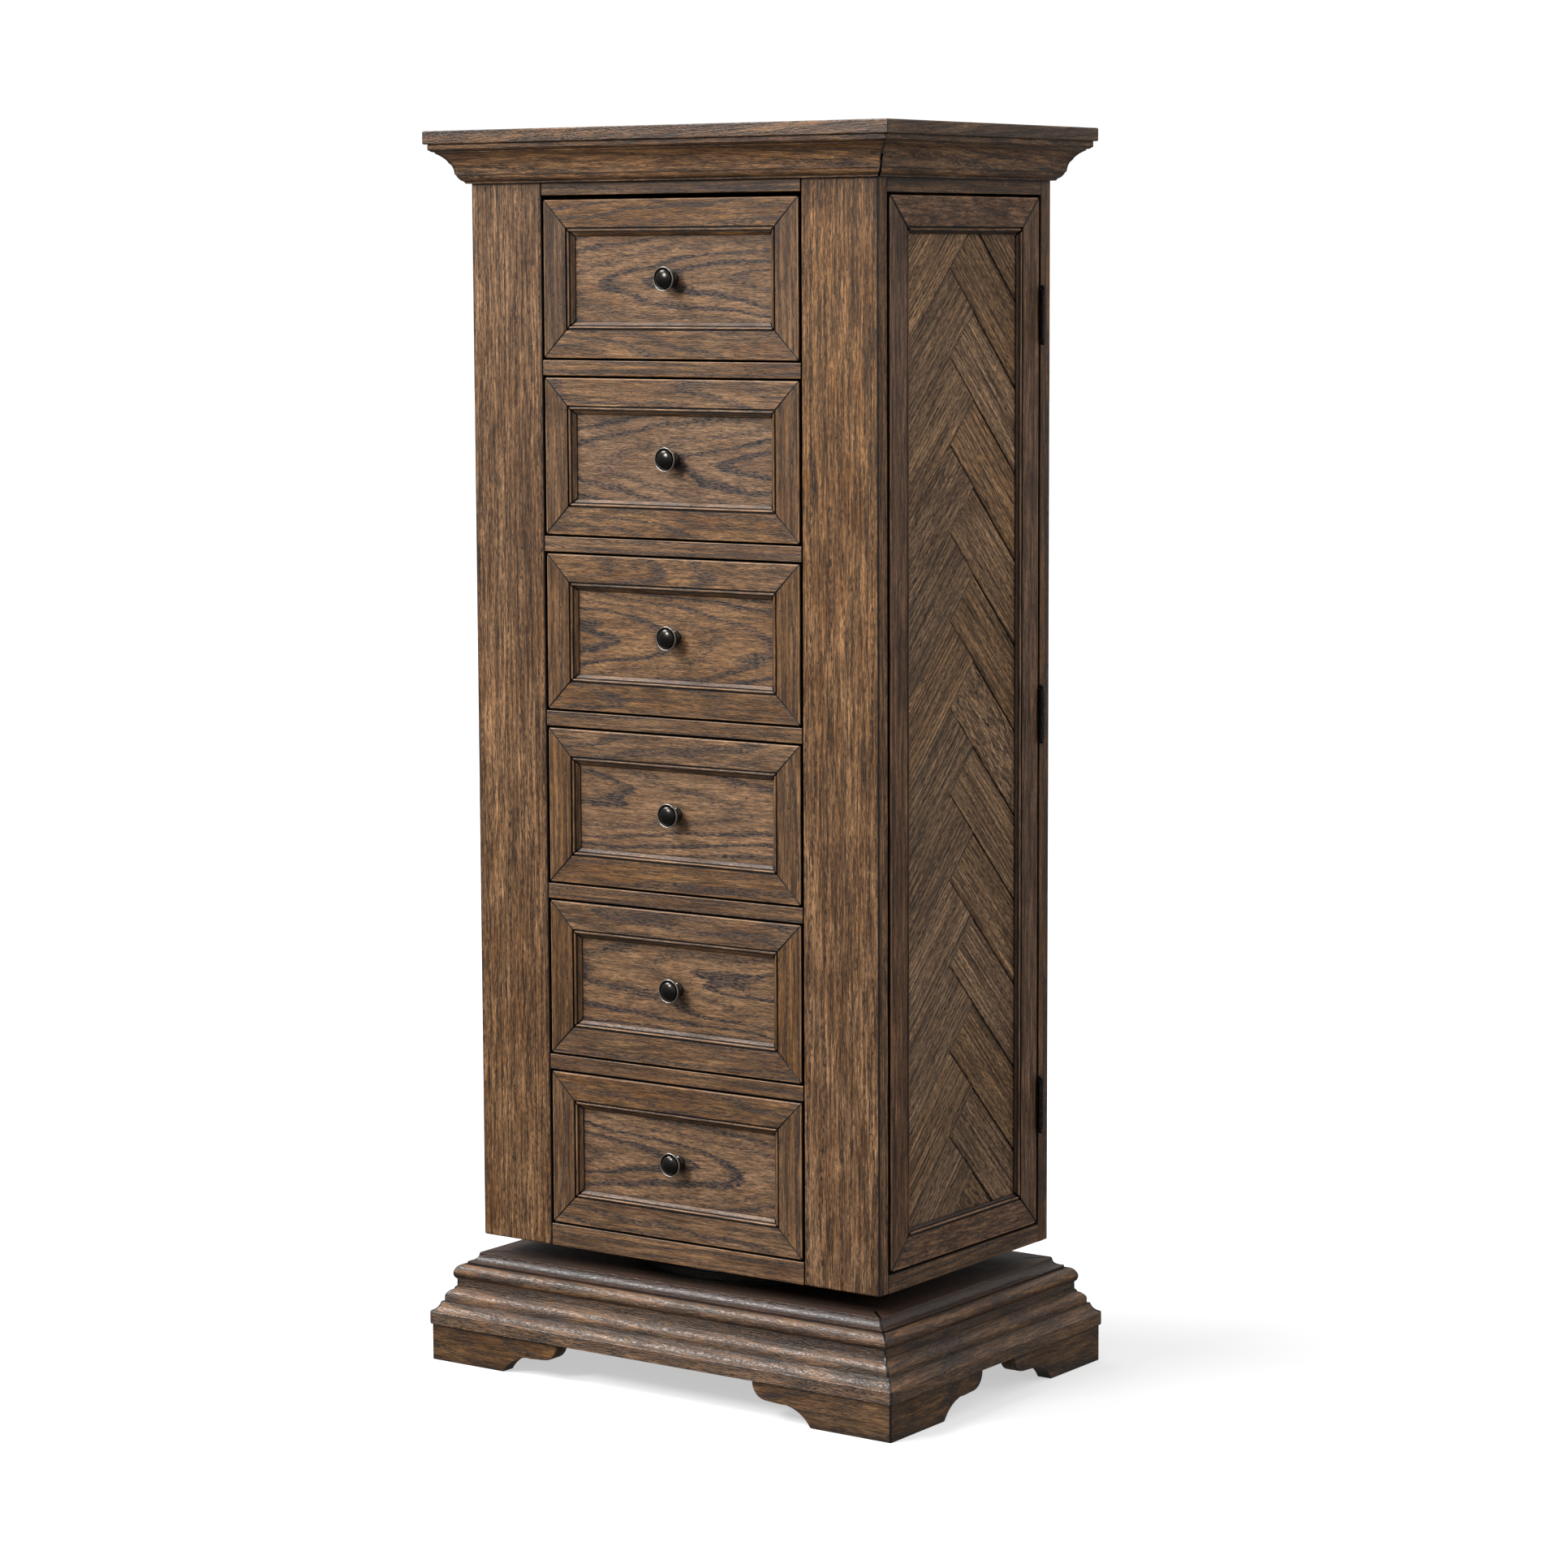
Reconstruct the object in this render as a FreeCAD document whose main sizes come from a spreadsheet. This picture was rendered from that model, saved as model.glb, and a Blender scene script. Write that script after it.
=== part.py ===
import FreeCAD, Part
import math
import os
import Sketcher
from FreeCAD import Placement, Rotation, Vector

# Swivelling jewelry armoire.  Millimetres, +Z up, the front faces -Y, +X is the owner's right when
# looking at the front.  The origin is on the floor, under the centre of the cabinet.

doc = FreeCAD.newDocument("Armoire")
sheet = doc.addObject("Spreadsheet::Sheet", "Sizes")

SIZES = {
    # overall
    "overall_height": 1422,        # floor to the face of the top board
    "cabinet_width": 557,          # over the two side doors
    "cabinet_depth": 347.7,        # over the front and back frames
    "base_height": 125,            # floor to the platform that carries the bearing
    "swivel_height": 21.7,         # platform to the underside of the cabinet
    # front frame and drawers
    "front_thickness": 18.5,
    "stile_width": 100.5,
    "bottom_rail_height": 25.8,
    "middle_rail_height": 17.3,
    "top_rail_drop": 14.5,         # top rail below the cornice
    "drawer_gap": 2.4,             # above and below a drawer front
    "top_drawer_gap": 5,
    "drawer_side_gap": 3,
    "drawer_front_thickness": 19,
    "drawer_frame_width": 31,      # flat face of the mitred frame
    "drawer_bead_width": 9.5,      # stepped moulding inside the flat face
    "panel_recess": 7.2,
    "drawer_panel_thickness": 6,
    "box_side_thickness": 12,
    "box_back_thickness": 10,
    "box_bottom_thickness": 5,
    "box_bottom_lift": 6,          # groove above the lower edge of the sides
    "box_drop": 22,                # box sides below the top of the front
    "box_raise": 10,               # box sides above the foot of the front
    "box_back_space": 24,          # behind the box, in front of the back frame
    "knob_diameter": 27,
    "knob_length": 21,
    "knob_screw_diameter": 4,
    # drawer slides
    "slide_space": 12.5,           # between a box side and its partition
    "slide_channel_height": 35,
    "slide_metal": 1.5,
    "slide_running_gap": 0.4,
    "slide_channel_depth": 9.5,
    "slide_length": 260,
    "slide_setback": 5,            # behind the front frame
    # sides and doors
    "back_thickness": 19.7,
    "side_bottom_rail_height": 20.5,
    "side_top_rail_drop": 16.1,    # top rail below the cornice
    "door_thickness": 19,
    "door_front_gap": 4.9,
    "door_hinge_gap": 4,
    "door_end_gap": 2.9,           # above and below a door
    "door_frame_width": 33,
    "door_bead_width": 8,
    "door_panel_recess": 6,
    "door_panel_thickness": 8,
    "tongue": 5,                   # how far a panel runs into its groove
    "partition_thickness": 12,
    "board_thickness": 19,         # cabinet bottom
    "ceiling_thickness": 12,
    "ceiling_lift": 2,             # ceiling above the side openings
    # back frame and mirror
    "back_stile_width": 62,
    "back_bottom_rail_height": 80,
    "back_top_rail_height": 124,
    "mirror_rebate": 8,
    "mirror_lip": 10,              # frame in front of the glass
    "mirror_thickness": 4,
    "backing_thickness": 5.7,
    # hinges and catches
    "hinge_length": 57,
    "hinge_leaf_thickness": 1.6,
    "hinge_leaf_width": 16,
    "hinge_barrel_diameter": 6.4,
    "hinge_pin_diameter": 3,
    "hinge_pin_clearance": 0.05,
    "hinge_tip_diameter": 5.4,
    "hinge_knuckle_gap": 0.3,
    "hinge_pin_out": 4,            # pin outside the face of the door
    "hinge_bottom_distance": 139,  # foot of the door to the middle of the lowest hinge
    "hinge_top_distance": 131,     # middle of the uppermost hinge to the door's top
    "catch_length": 40,
    "catch_depth": 14,
    "catch_width": 18,
    "catch_air": 0.3,
    "strike_thickness": 1,
    "catch_end_distance": 190,
    # necklace hooks
    "hook_bar_length": 240,
    "hook_bar_height": 26,
    "hook_bar_thickness": 8,
    "hook_bar_drop": 34,
    "hook_reach": 24,
    "hook_diameter": 4,
    "hook_ball_diameter": 7,
    # crown
    "top_board_thickness": 15,
    "top_board_overhang": 39.2,
    "top_board_round": 1.2,
    "cornice_height": 44,
    "cornice_band": 35.6,          # projections, from the carcass outwards
    "cornice_cove_top": 29.8,
    "cornice_cove_foot": 13.2,
    "cornice_ovolo": 12,
    "cornice_fillet": 5.3,
    # base
    "platform_thickness": 13.5,
    "platform_overhang": 15.1,
    "platform_cove_radius": 10.2,
    "torus_projection": 27,
    "fascia_projection": 23,
    "ogee_projection": 36.9,
    "plinth_projection": 46.5,
    "plinth_bottom": 42.4,
    "plinth_face_height": 14.1,
    "lower_moulding_height": 44,
    "upper_moulding_back": 3,
    "lower_moulding_back": 20,
    "foot_projection": 44.5,
    "foot_thickness": 19,
    "foot_flat": 105,
    "foot_length": 186,
    "foot_block": 38,
    "glide_diameter": 24,
    "glide_thickness": 4,
    # swivel bearing
    "race_outer_radius": 150,
    "race_plate_thickness": 2,
    "race_track_radius": 130,
    "race_width": 30,
    "race_gap": 3,
    "ball_radius": 4,
    "ball_clearance": 0.05,
    "cage_thickness": 1.6,
    "cage_width": 16,
}
DRAWERS = 6
HINGES = 3
HOOKS = 6
BALLS = 24

for row, (alias, value) in enumerate(SIZES.items(), 1):
    sheet.set(f"A{row}", alias)
    sheet.set(f"B{row}", str(value))
    sheet.setAlias(f"B{row}", alias)
doc.recompute()

# ---------------------------------------------------------------- expressions shared by the pieces
HALF_W = "Sizes.cabinet_width / 2"
HALF_D = "Sizes.cabinet_depth / 2"
FLOOR_Z = "(Sizes.base_height + Sizes.swivel_height)"          # underside of the cabinet
LID_Z = "(Sizes.overall_height - Sizes.top_board_thickness)"   # underside of the top board
CROWN_Z = f"({LID_Z} - Sizes.cornice_height)"                  # foot of the cornice
FRONT_BACK = f"(-{HALF_D} + Sizes.front_thickness)"            # rear face of the front frame
BACK_FRONT = f"({HALF_D} - Sizes.back_thickness)"              # inner face of the back frame
OPENING = f"({HALF_W} - Sizes.stile_width)"                    # half the drawer opening
DOOR_IN = f"({HALF_W} - Sizes.door_thickness)"                 # inner face of the right door
RAIL_TOP = f"({FLOOR_Z} + Sizes.bottom_rail_height)"
HEAD_Z = f"({CROWN_Z} - Sizes.top_rail_drop)"
DRAWER_H = (f"(({HEAD_Z} - {RAIL_TOP} - Sizes.top_drawer_gap - {2 * DRAWERS - 1} * Sizes.drawer_gap"
            f" - {DRAWERS - 1} * Sizes.middle_rail_height) / {DRAWERS})")
PITCH = f"({DRAWER_H} + 2 * Sizes.drawer_gap + Sizes.middle_rail_height)"
DRAWER_TOP = f"({HEAD_Z} - Sizes.top_drawer_gap)"              # top of the uppermost front
DRAWER_W = f"(2 * ({OPENING} - Sizes.drawer_side_gap))"
SIDE_SILL = f"({FLOOR_Z} + Sizes.side_bottom_rail_height)"
SIDE_HEAD = f"({CROWN_Z} - Sizes.side_top_rail_drop)"
DOOR_BOTTOM = f"({SIDE_SILL} + Sizes.door_end_gap)"
DOOR_TOP = f"({SIDE_HEAD} - Sizes.door_end_gap)"
DOOR_FRONT = f"({FRONT_BACK} + Sizes.door_front_gap)"
DOOR_BACK = f"({BACK_FRONT} - Sizes.door_hinge_gap)"
CEILING_Z = f"({SIDE_HEAD} + Sizes.ceiling_lift)"
BOARD_TOP = f"({FLOOR_Z} + Sizes.board_thickness)"
BOX_SIDE = f"({OPENING} - Sizes.slide_space)"                  # outer face of a drawer's side
BOX_FRONT = f"(-{HALF_D} + Sizes.drawer_front_thickness)"
BOX_BACK = f"({BACK_FRONT} - Sizes.box_back_space)"
PIN_X = f"({HALF_W} + Sizes.hinge_pin_out)"
PIN_Y = f"({BACK_FRONT} - Sizes.door_hinge_gap / 2)"
BALL_Z = "(Sizes.base_height + Sizes.swivel_height / 2)"
PLATFORM_Z = "(Sizes.base_height - Sizes.platform_thickness)"  # seat of the platform


def number(expression):
    """The value of an expression in the sheet's sizes."""
    return float(sheet.evalExpression(str(expression)))


# ---------------------------------------------------------------- helpers
def bind(item, **expressions):
    """Bind properties to the sheet; x, y and z are the placement's position."""
    for name, expression in expressions.items():
        path = f"Placement.Base.{name}" if name in ("x", "y", "z") else name
        item.setExpression(path, str(expression))
    return item


def board(name, x, y, z):
    """A square-edged board between three pairs of faces."""
    item = doc.addObject("Part::Box", name)
    bind(item, x=x[0], y=y[0], z=z[0])
    for side, (low, high) in (("Length", x), ("Width", y), ("Height", z)):
        item.setExpression(side, f"({high}) - ({low})")
    return item


def rod(name, radius, length, position, axis=(0, 0, 1)):
    """A cylinder that starts at a point and runs along an axis."""
    item = doc.addObject("Part::Cylinder", name)
    item.Placement = Placement(Vector(), Rotation(Vector(0, 0, 1), Vector(*axis)))
    bind(item, Radius=radius, Height=length, x=position[0], y=position[1], z=position[2])
    return item


def ball(name, radius, position):
    item = doc.addObject("Part::Sphere", name)
    return bind(item, Radius=radius, x=position[0], y=position[1], z=position[2])


def joined(name, *items):
    item = doc.addObject("Part::MultiFuse", name)
    item.Shapes = list(items)
    return item


def cut(name, base, *tools):
    """The base with every tool taken away."""
    item = doc.addObject("Part::Cut", name)
    item.Base = base
    item.Tool = tools[0] if len(tools) == 1 else joined(name + "_tools", *tools)
    return item


def mirrored(name, source, normal=(1, 0, 0)):
    item = doc.addObject("Part::Mirroring", name)
    item.Source = source
    item.Normal = normal
    return item


def origin_plane(body, role):
    return next(feature for feature in body.Origin.OriginFeatures if feature.Role == role)


def outline(body, name, role, corners):
    """A closed, fully constrained sketch.  Each corner is (across, up) or (across, up, radius):
    a radius makes the edge to the next corner an arc, centred on the left if it is positive."""
    sketch = body.newObject("Sketcher::SketchObject", name)
    sketch.AttachmentSupport = [(origin_plane(body, role), "")]
    sketch.MapMode = "FlatFace"
    points = [Vector(number(corner[0]), number(corner[1]), 0) for corner in corners]
    radii = [number(corner[2]) if len(corner) > 2 else 0 for corner in corners]
    for index, (start, radius) in enumerate(zip(points, radii)):
        end = points[(index + 1) % len(points)]
        if radius == 0:
            sketch.addGeometry(Part.LineSegment(start, end))
            continue
        chord = end - start
        reach = math.sqrt(max(radius ** 2 - chord.Length ** 2 / 4, 0))
        left = Vector(-chord.y, chord.x, 0).normalize()
        centre = (start + end) * 0.5 + left * math.copysign(reach, radius)
        first = math.atan2(start.y - centre.y, start.x - centre.x)
        last = math.atan2(end.y - centre.y, end.x - centre.x)
        circle = Part.Circle(centre, Vector(0, 0, 1), abs(radius))
        span = (first, last) if radius > 0 else (last, first)
        sketch.addGeometry(Part.ArcOfCircle(circle, *span))
    for index, corner in enumerate(corners):
        start_point = 2 if radii[index] < 0 else 1
        before = index - 1 if index else len(corners) - 1
        end_point = 1 if radii[before] < 0 else 2
        sketch.addConstraint(Sketcher.Constraint("Coincident", before, end_point, index, start_point))
        for kind, expression in (("DistanceX", corner[0]), ("DistanceY", corner[1])):
            held = Sketcher.Constraint(kind, -1, 1, index, start_point, number(expression))
            sketch.setExpression(f"Constraints[{sketch.addConstraint(held)}]", str(expression))
        if radii[index]:
            held = Sketcher.Constraint("Radius", index, abs(radii[index]))
            sketch.setExpression(f"Constraints[{sketch.addConstraint(held)}]", f"abs({corner[2]})")
    return sketch


def padded(name, role, corners, length, symmetric=False):
    """A body made by padding an outline off one of its origin planes."""
    body = doc.addObject("PartDesign::Body", name)
    pad = body.newObject("PartDesign::Pad", name + "_pad")
    pad.Profile = outline(body, name + "_outline", role, corners)
    pad.SideType = "Symmetric" if symmetric else "One side"
    pad.setExpression("Length", str(length))
    return body


def pocketed(body, name, role, corners):
    """Cut an outline right through a body, both ways from the plane."""
    pocket = body.newObject("PartDesign::Pocket", name)
    pocket.Profile = outline(body, name + "_outline", role, corners)
    pocket.Type = "ThroughAll"
    pocket.SideType = "Symmetric"
    return body


def mitred(name, corners, run, reach):
    """One mitred length along X.  The outline is (outwards, up); at 0 outwards the length is run,
    and each end slopes at 45 degrees.  reach holds the outline's inner and outer limits."""
    low, high = f"(({reach[0]}) - 1)", f"(({reach[1]}) + 1)"
    body = padded(name, "YZ_Plane", corners, f"({run}) + 2 * {high}", symmetric=True)
    beyond = f"(({run}) / 2 + {high} + 1)"
    for side, sign in (("right", ""), ("left", "-")):
        corner = [(f"{sign}(({run}) / 2 + {low})", low), (f"{sign}{beyond}", low),
                  (f"{sign}{beyond}", high), (f"{sign}(({run}) / 2 + {high})", high)]
        pocketed(body, f"{name}_{side}_mitre", "XY_Plane", corner)
    return body


def around(name, corners, reach, z):
    """Four mitred lengths round the cabinet; outwards is measured from its faces."""
    lengths = []
    for index in range(4):
        across, out = ("width", "depth") if index % 2 == 0 else ("depth", "width")
        length = mitred(f"{name}_{index}", corners, f"Sizes.cabinet_{across}", reach)
        turn = Rotation(Vector(0, 0, 1), 180 + 90 * index)
        length.Placement = Placement(Vector(), turn)
        axis, sign = (("y", "-"), ("x", ""), ("y", ""), ("x", "-"))[index]
        bind(length, z=z, **{axis: f"{sign}Sizes.cabinet_{out} / 2"})
        lengths.append(length)
    return lengths


def framed(name, corners, width, height, reach):
    """Four mitred lengths round an upright opening, as a frame in the XZ plane that faces -Y.
    The outline is (0 at the outer edge and negative inwards, 0 at the face and negative behind).
    The frame is centred on the origin, with its face at Y = 0."""
    lengths = []
    for index in range(4):
        run, off = (width, height) if index % 2 == 0 else (height, width)
        length = mitred(f"{name}_{index}", corners, run, reach)
        turn = Rotation(Vector(0, 1, 0), 90 * index) * Rotation(Vector(1, 0, 0), 90)
        length.Placement = Placement(Vector(), turn)
        axis, sign = (("z", ""), ("x", ""), ("z", "-"), ("x", "-"))[index]
        bind(length, **{axis: f"{sign}({off}) / 2"})
        lengths.append(length)
    return lengths


def sub_part(label, *pieces):
    """Gather the separate solids of one sub-part under its own label."""
    item = doc.addObject("Part::Compound", label)
    item.Links = list(pieces)
    item.Label = label
    sub_parts.append(item)
    return item


def frame_outline(face, bead, recess, panel, thickness):
    """Section of a panelled frame: flat face, quirk, bead, sloping strip and panel groove."""
    inner = f"-({face} + {bead})"
    return [("0", "0"), (f"-{face}", "0"), (f"-{face}", "-1.6"),
            (f"-{face} - 1", "-1.6", "1.55"), (f"-{face} - 4", "-1.6"), (inner, f"-{recess} + 1.2"),
            (inner, f"-{recess}"), (f"{inner} + Sizes.tongue", f"-{recess}"),
            (f"{inner} + Sizes.tongue", f"-{recess} - {panel}"), (inner, f"-{recess} - {panel}"),
            (inner, f"-{thickness}"), ("0", f"-{thickness}")]


sub_parts = []


# ---------------------------------------------------------------- base
def make_base():
    over = "Sizes.platform_overhang"
    half_x, half_y = f"({HALF_W} + {over})", f"({HALF_D} + {over})"
    slab = board("platform_slab", (f"-{half_x}", half_x), (f"-{half_y}", half_y),
                 (PLATFORM_Z, "Sizes.base_height"))
    coves = []
    for name, sign in (("front", "-"), ("back", "")):
        coves.append(rod(f"platform_cove_{name}", "Sizes.platform_cove_radius", f"2 * {half_x} + 2",
                         (f"-{half_x} - 1", f"{sign}{half_y}", "Sizes.base_height"), (1, 0, 0)))
    for name, sign in (("left", "-"), ("right", "")):
        coves.append(rod(f"platform_cove_{name}", "Sizes.platform_cove_radius", f"2 * {half_y} + 2",
                         (f"{sign}{half_x}", f"-{half_y} - 1", "Sizes.base_height"), (0, 1, 0)))
    sub_part("base_platform", cut("platform_board", slab, *coves))

    # torus and fascia above, fillets and ogee below, flat plinth face at the foot
    height = f"({PLATFORM_Z} - Sizes.plinth_bottom)"
    torus, fascia = "Sizes.torus_projection", "Sizes.fascia_projection"
    ogee, plinth = "Sizes.ogee_projection", "Sizes.plinth_projection"
    face, low = "Sizes.plinth_face_height", "Sizes.lower_moulding_height"
    section = [("Sizes.lower_moulding_back", "0"), (plinth, "0"), (plinth, face),
               (f"{plinth} - 1", f"{face} + 0.8", "-12"), (f"{ogee} + 1", f"{low} - 21"),
               (ogee, f"{low} - 18.4"), (f"{ogee} - 2.6", f"{low} - 18.4"),
               (f"{ogee} - 2.6", f"{low} - 15.5", "10"), (f"{ogee} - 9.6", f"{low} - 4"),
               (f"{fascia} + 2.3", f"{low} - 3"), (f"{fascia} + 2.3", f"{low} - 0.5"),
               (fascia, f"{low} - 0.5"), (fascia, f"{height} - 15.5"),
               (f"{torus} - 2", f"{height} - 14", "9"), ("Sizes.platform_overhang + 1", height),
               ("Sizes.upper_moulding_back", height), ("Sizes.upper_moulding_back", low),
               ("Sizes.lower_moulding_back", low)]
    sub_part("base_moulding", *around("base_moulding", section, ("0", plinth), "Sizes.plinth_bottom"))
    make_feet()


def make_feet():
    """Bracket feet: two boards with a scrolled end, mitred at the corner, a glue block, a glide."""
    flat, long, top = "Sizes.foot_flat", "Sizes.foot_length", "Sizes.plinth_bottom"
    scroll = [("0", "0"), (flat, "0", "-45"), (f"{flat} + 42", "21"),
              (f"{long} - 18", "22.5", "19"), (long, top), ("0", top)]
    thick = "Sizes.foot_thickness"
    corner_x = f"({HALF_W} + Sizes.foot_projection)"
    corner_y = f"({HALF_D} + Sizes.foot_projection)"
    cheek = padded("foot_board", "XZ_Plane", scroll, thick)
    pocketed(cheek, "foot_mitre", "XY_Plane",
             [("-1", "1"), ("-1", f"-{thick} - 1"), (f"{thick} + 1", f"-{thick} - 1")])
    # turned so that it runs along -X from the outer corner, with its thickness inwards
    cheek.Placement = Placement(Vector(), Rotation(Vector(0, 0, 1), 180))
    front = doc.addObject("Part::Compound", "foot_front_board")
    front.Links = [cheek]
    side = mirrored("foot_side_board", cheek, (1, 1, 0))
    for piece in (front, side):
        bind(piece, x=corner_x, y=f"-{corner_y}")
    inner_x, inner_y = f"({corner_x} - {thick})", f"(-{corner_y} + {thick})"
    block = board("foot_block", (f"{inner_x} - Sizes.foot_block", inner_x),
                  (inner_y, f"{inner_y} + Sizes.foot_block"), ("Sizes.glide_thickness", top))
    glide = rod("glide", "Sizes.glide_diameter / 2", "Sizes.glide_thickness",
                (f"{inner_x} - Sizes.foot_block / 2", f"{inner_y} + Sizes.foot_block / 2", "0"))
    right = [front, side, block]
    left = [mirrored(f"{piece.Name}_left", piece) for piece in right]
    glides = [glide, mirrored("glide_left", glide)]
    sub_part("front_right_foot", *right)
    sub_part("front_left_foot", *left)
    for label, pieces in (("back_right_foot", right), ("back_left_foot", left)):
        sub_part(label, *[mirrored(f"{piece.Name}_back", piece, (0, 1, 0)) for piece in pieces])
    glides += [mirrored(f"{piece.Name}_back", piece, (0, 1, 0)) for piece in glides]
    sub_part("foot_glides", *glides)


# ---------------------------------------------------------------- swivel bearing
def make_swivel():
    track, width = "Sizes.race_track_radius", "Sizes.race_width"
    thick = f"(Sizes.swivel_height / 2 - Sizes.race_gap / 2 - Sizes.race_plate_thickness)"
    groove = doc.addObject("Part::Torus", "ball_groove")
    bind(groove, Radius1=track, Radius2="Sizes.ball_radius + Sizes.ball_clearance", z=BALL_Z)
    for label, seat, ring_seat in (
            ("swivel_lower_race", "Sizes.base_height",
             "Sizes.base_height + Sizes.race_plate_thickness"),
            ("swivel_upper_race", f"{FLOOR_Z} - Sizes.race_plate_thickness",
             f"{FLOOR_Z} - Sizes.race_plate_thickness - {thick}")):
        plate = rod(f"{label}_plate", "Sizes.race_outer_radius", "Sizes.race_plate_thickness",
                    ("0", "0", seat))
        outer = rod(f"{label}_outer", f"{track} + {width} / 2", thick, ("0", "0", ring_seat))
        inner = rod(f"{label}_inner", f"{track} - {width} / 2", thick, ("0", "0", ring_seat))
        ring = cut(f"{label}_ring", outer, inner, groove)
        sub_part(label, joined(f"{label}_body", plate, ring))
    thin = "Sizes.cage_thickness"
    low = f"{BALL_Z} - {thin} / 2"
    outer = rod("cage_outer", f"{track} + Sizes.cage_width / 2", thin, ("0", "0", low))
    inner = rod("cage_inner", f"{track} - Sizes.cage_width / 2", thin, ("0", "0", low))
    holes, balls = [], []
    for index in range(BALLS):
        angle = 360 * index / BALLS
        centre = (f"{track} * cos({angle} deg)", f"{track} * sin({angle} deg)")
        holes.append(rod(f"cage_hole_{index}", "Sizes.ball_radius + 0.2", thin, (*centre, low)))
        balls.append(ball(f"bearing_ball_{index}", "Sizes.ball_radius", (*centre, BALL_Z)))
    sub_part("swivel_ball_ring", cut("ball_cage", outer, inner, *holes), *balls)


# ---------------------------------------------------------------- carcass
def make_carcass():
    front = (f"-{HALF_D}", FRONT_BACK)
    between = (FRONT_BACK, BACK_FRONT)
    rails = [board("front_bottom_rail", (f"-{OPENING}", OPENING), front, (FLOOR_Z, RAIL_TOP)),
             board("front_top_rail", (f"-{OPENING}", OPENING), front, (HEAD_Z, LID_Z))]
    for index in range(1, DRAWERS):
        top = f"({DRAWER_TOP} - {index} * {PITCH} + Sizes.drawer_gap + Sizes.middle_rail_height)"
        rails.append(board(f"front_rail_{index}", (f"-{OPENING}", OPENING), front,
                           (f"{top} - Sizes.middle_rail_height", top)))
    stile = board("front_right_stile", (OPENING, HALF_W), front, (FLOOR_Z, LID_Z))
    sub_part("front_frame", stile, mirrored("front_left_stile", stile), *rails)

    sill = board("right_sill", (DOOR_IN, HALF_W), between, (FLOOR_Z, SIDE_SILL))
    head = board("right_head", (DOOR_IN, HALF_W), between, (SIDE_HEAD, LID_Z))
    sub_part("side_rails", sill, head, mirrored("left_sill", sill), mirrored("left_head", head))

    sub_part("cabinet_bottom",
             board("bottom_board", (f"-{DOOR_IN}", DOOR_IN), between, (FLOOR_Z, BOARD_TOP)))
    sub_part("cabinet_ceiling",
             board("ceiling_board", (f"-{DOOR_IN}", DOOR_IN), between,
                   (CEILING_Z, f"{CEILING_Z} + Sizes.ceiling_thickness")))
    partition = board("right_partition", (OPENING, f"{OPENING} + Sizes.partition_thickness"),
                      between, (BOARD_TOP, CEILING_Z))
    sub_part("drawer_partitions", partition, mirrored("left_partition", partition))

    over_x = f"({HALF_W} + Sizes.top_board_overhang)"
    over_y = f"({HALF_D} + Sizes.top_board_overhang)"
    lid = padded("lid", "XY_Plane", [(f"-{over_x}", f"-{over_y}"), (over_x, f"-{over_y}"),
                                     (over_x, over_y), (f"-{over_x}", over_y)],
                 "Sizes.top_board_thickness")
    bind(lid, z=LID_Z)
    doc.recompute()
    pad = lid.Tip
    eased = lid.newObject("PartDesign::Fillet", "lid_eased_edges")
    eased.Base = (pad, [f"Edge{index + 1}" for index in range(len(pad.Shape.Edges))])
    eased.setExpression("Radius", "Sizes.top_board_round")
    sub_part("top_board", lid)

    # band, small ovolo, big cove, small ovolo, fillet
    band, cove = "Sizes.cornice_band", "Sizes.cornice_cove_top"
    foot, ovolo, fillet = "Sizes.cornice_cove_foot", "Sizes.cornice_ovolo", "Sizes.cornice_fillet"
    height = "Sizes.cornice_height"
    section = [("0", "0"), (fillet, "0"), (fillet, "2", "8"), (ovolo, "9"), (foot, "9.3", "-29"),
               (cove, f"{height} - 9"), (cove, f"{height} - 7.5", "5"),
               (f"{band} - 1", f"{height} - 5.5"), (band, f"{height} - 5.5"), (band, height),
               ("0", height)]
    sub_part("cornice", *around("cornice", section, ("0", band), CROWN_Z))


def make_back():
    """Back frame with a rebate for a full-length glass, held by a backing board from inside."""
    rear = (BACK_FRONT, HALF_D)
    stile, low = f"({HALF_W} - Sizes.back_stile_width)", f"({FLOOR_Z} + Sizes.back_bottom_rail_height)"
    high = f"({LID_Z} - Sizes.back_top_rail_height)"
    rebate = board("mirror_rebate", (f"-{stile} - Sizes.mirror_rebate", f"{stile} + Sizes.mirror_rebate"),
                   (f"{BACK_FRONT} - 1", f"{HALF_D} - Sizes.mirror_lip"),
                   (f"{low} - Sizes.mirror_rebate", f"{high} + Sizes.mirror_rebate"))
    members = []
    for name, x, z in (("stile_right", (stile, HALF_W), (FLOOR_Z, LID_Z)),
                       ("stile_left", (f"-{HALF_W}", f"-{stile}"), (FLOOR_Z, LID_Z)),
                       ("bottom_rail", (f"-{stile}", stile), (FLOOR_Z, low)),
                       ("top_rail", (f"-{stile}", stile), (high, LID_Z))):
        members.append(cut(f"back_{name}", board(f"back_{name}_blank", x, rear, z), rebate))
    sub_part("back_frame", *members)
    room_x = (f"-{stile} - Sizes.mirror_rebate", f"{stile} + Sizes.mirror_rebate")
    room_z = (f"{low} - Sizes.mirror_rebate", f"{high} + Sizes.mirror_rebate")
    glass_back = f"({HALF_D} - Sizes.mirror_lip)"
    glass_front = f"({glass_back} - Sizes.mirror_thickness)"
    sub_part("mirror_glass", board("mirror_pane", room_x, (glass_front, glass_back), room_z))
    sub_part("mirror_backing", board("backing_board", room_x,
                                     (f"{glass_front} - Sizes.backing_thickness", glass_front), room_z))


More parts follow.
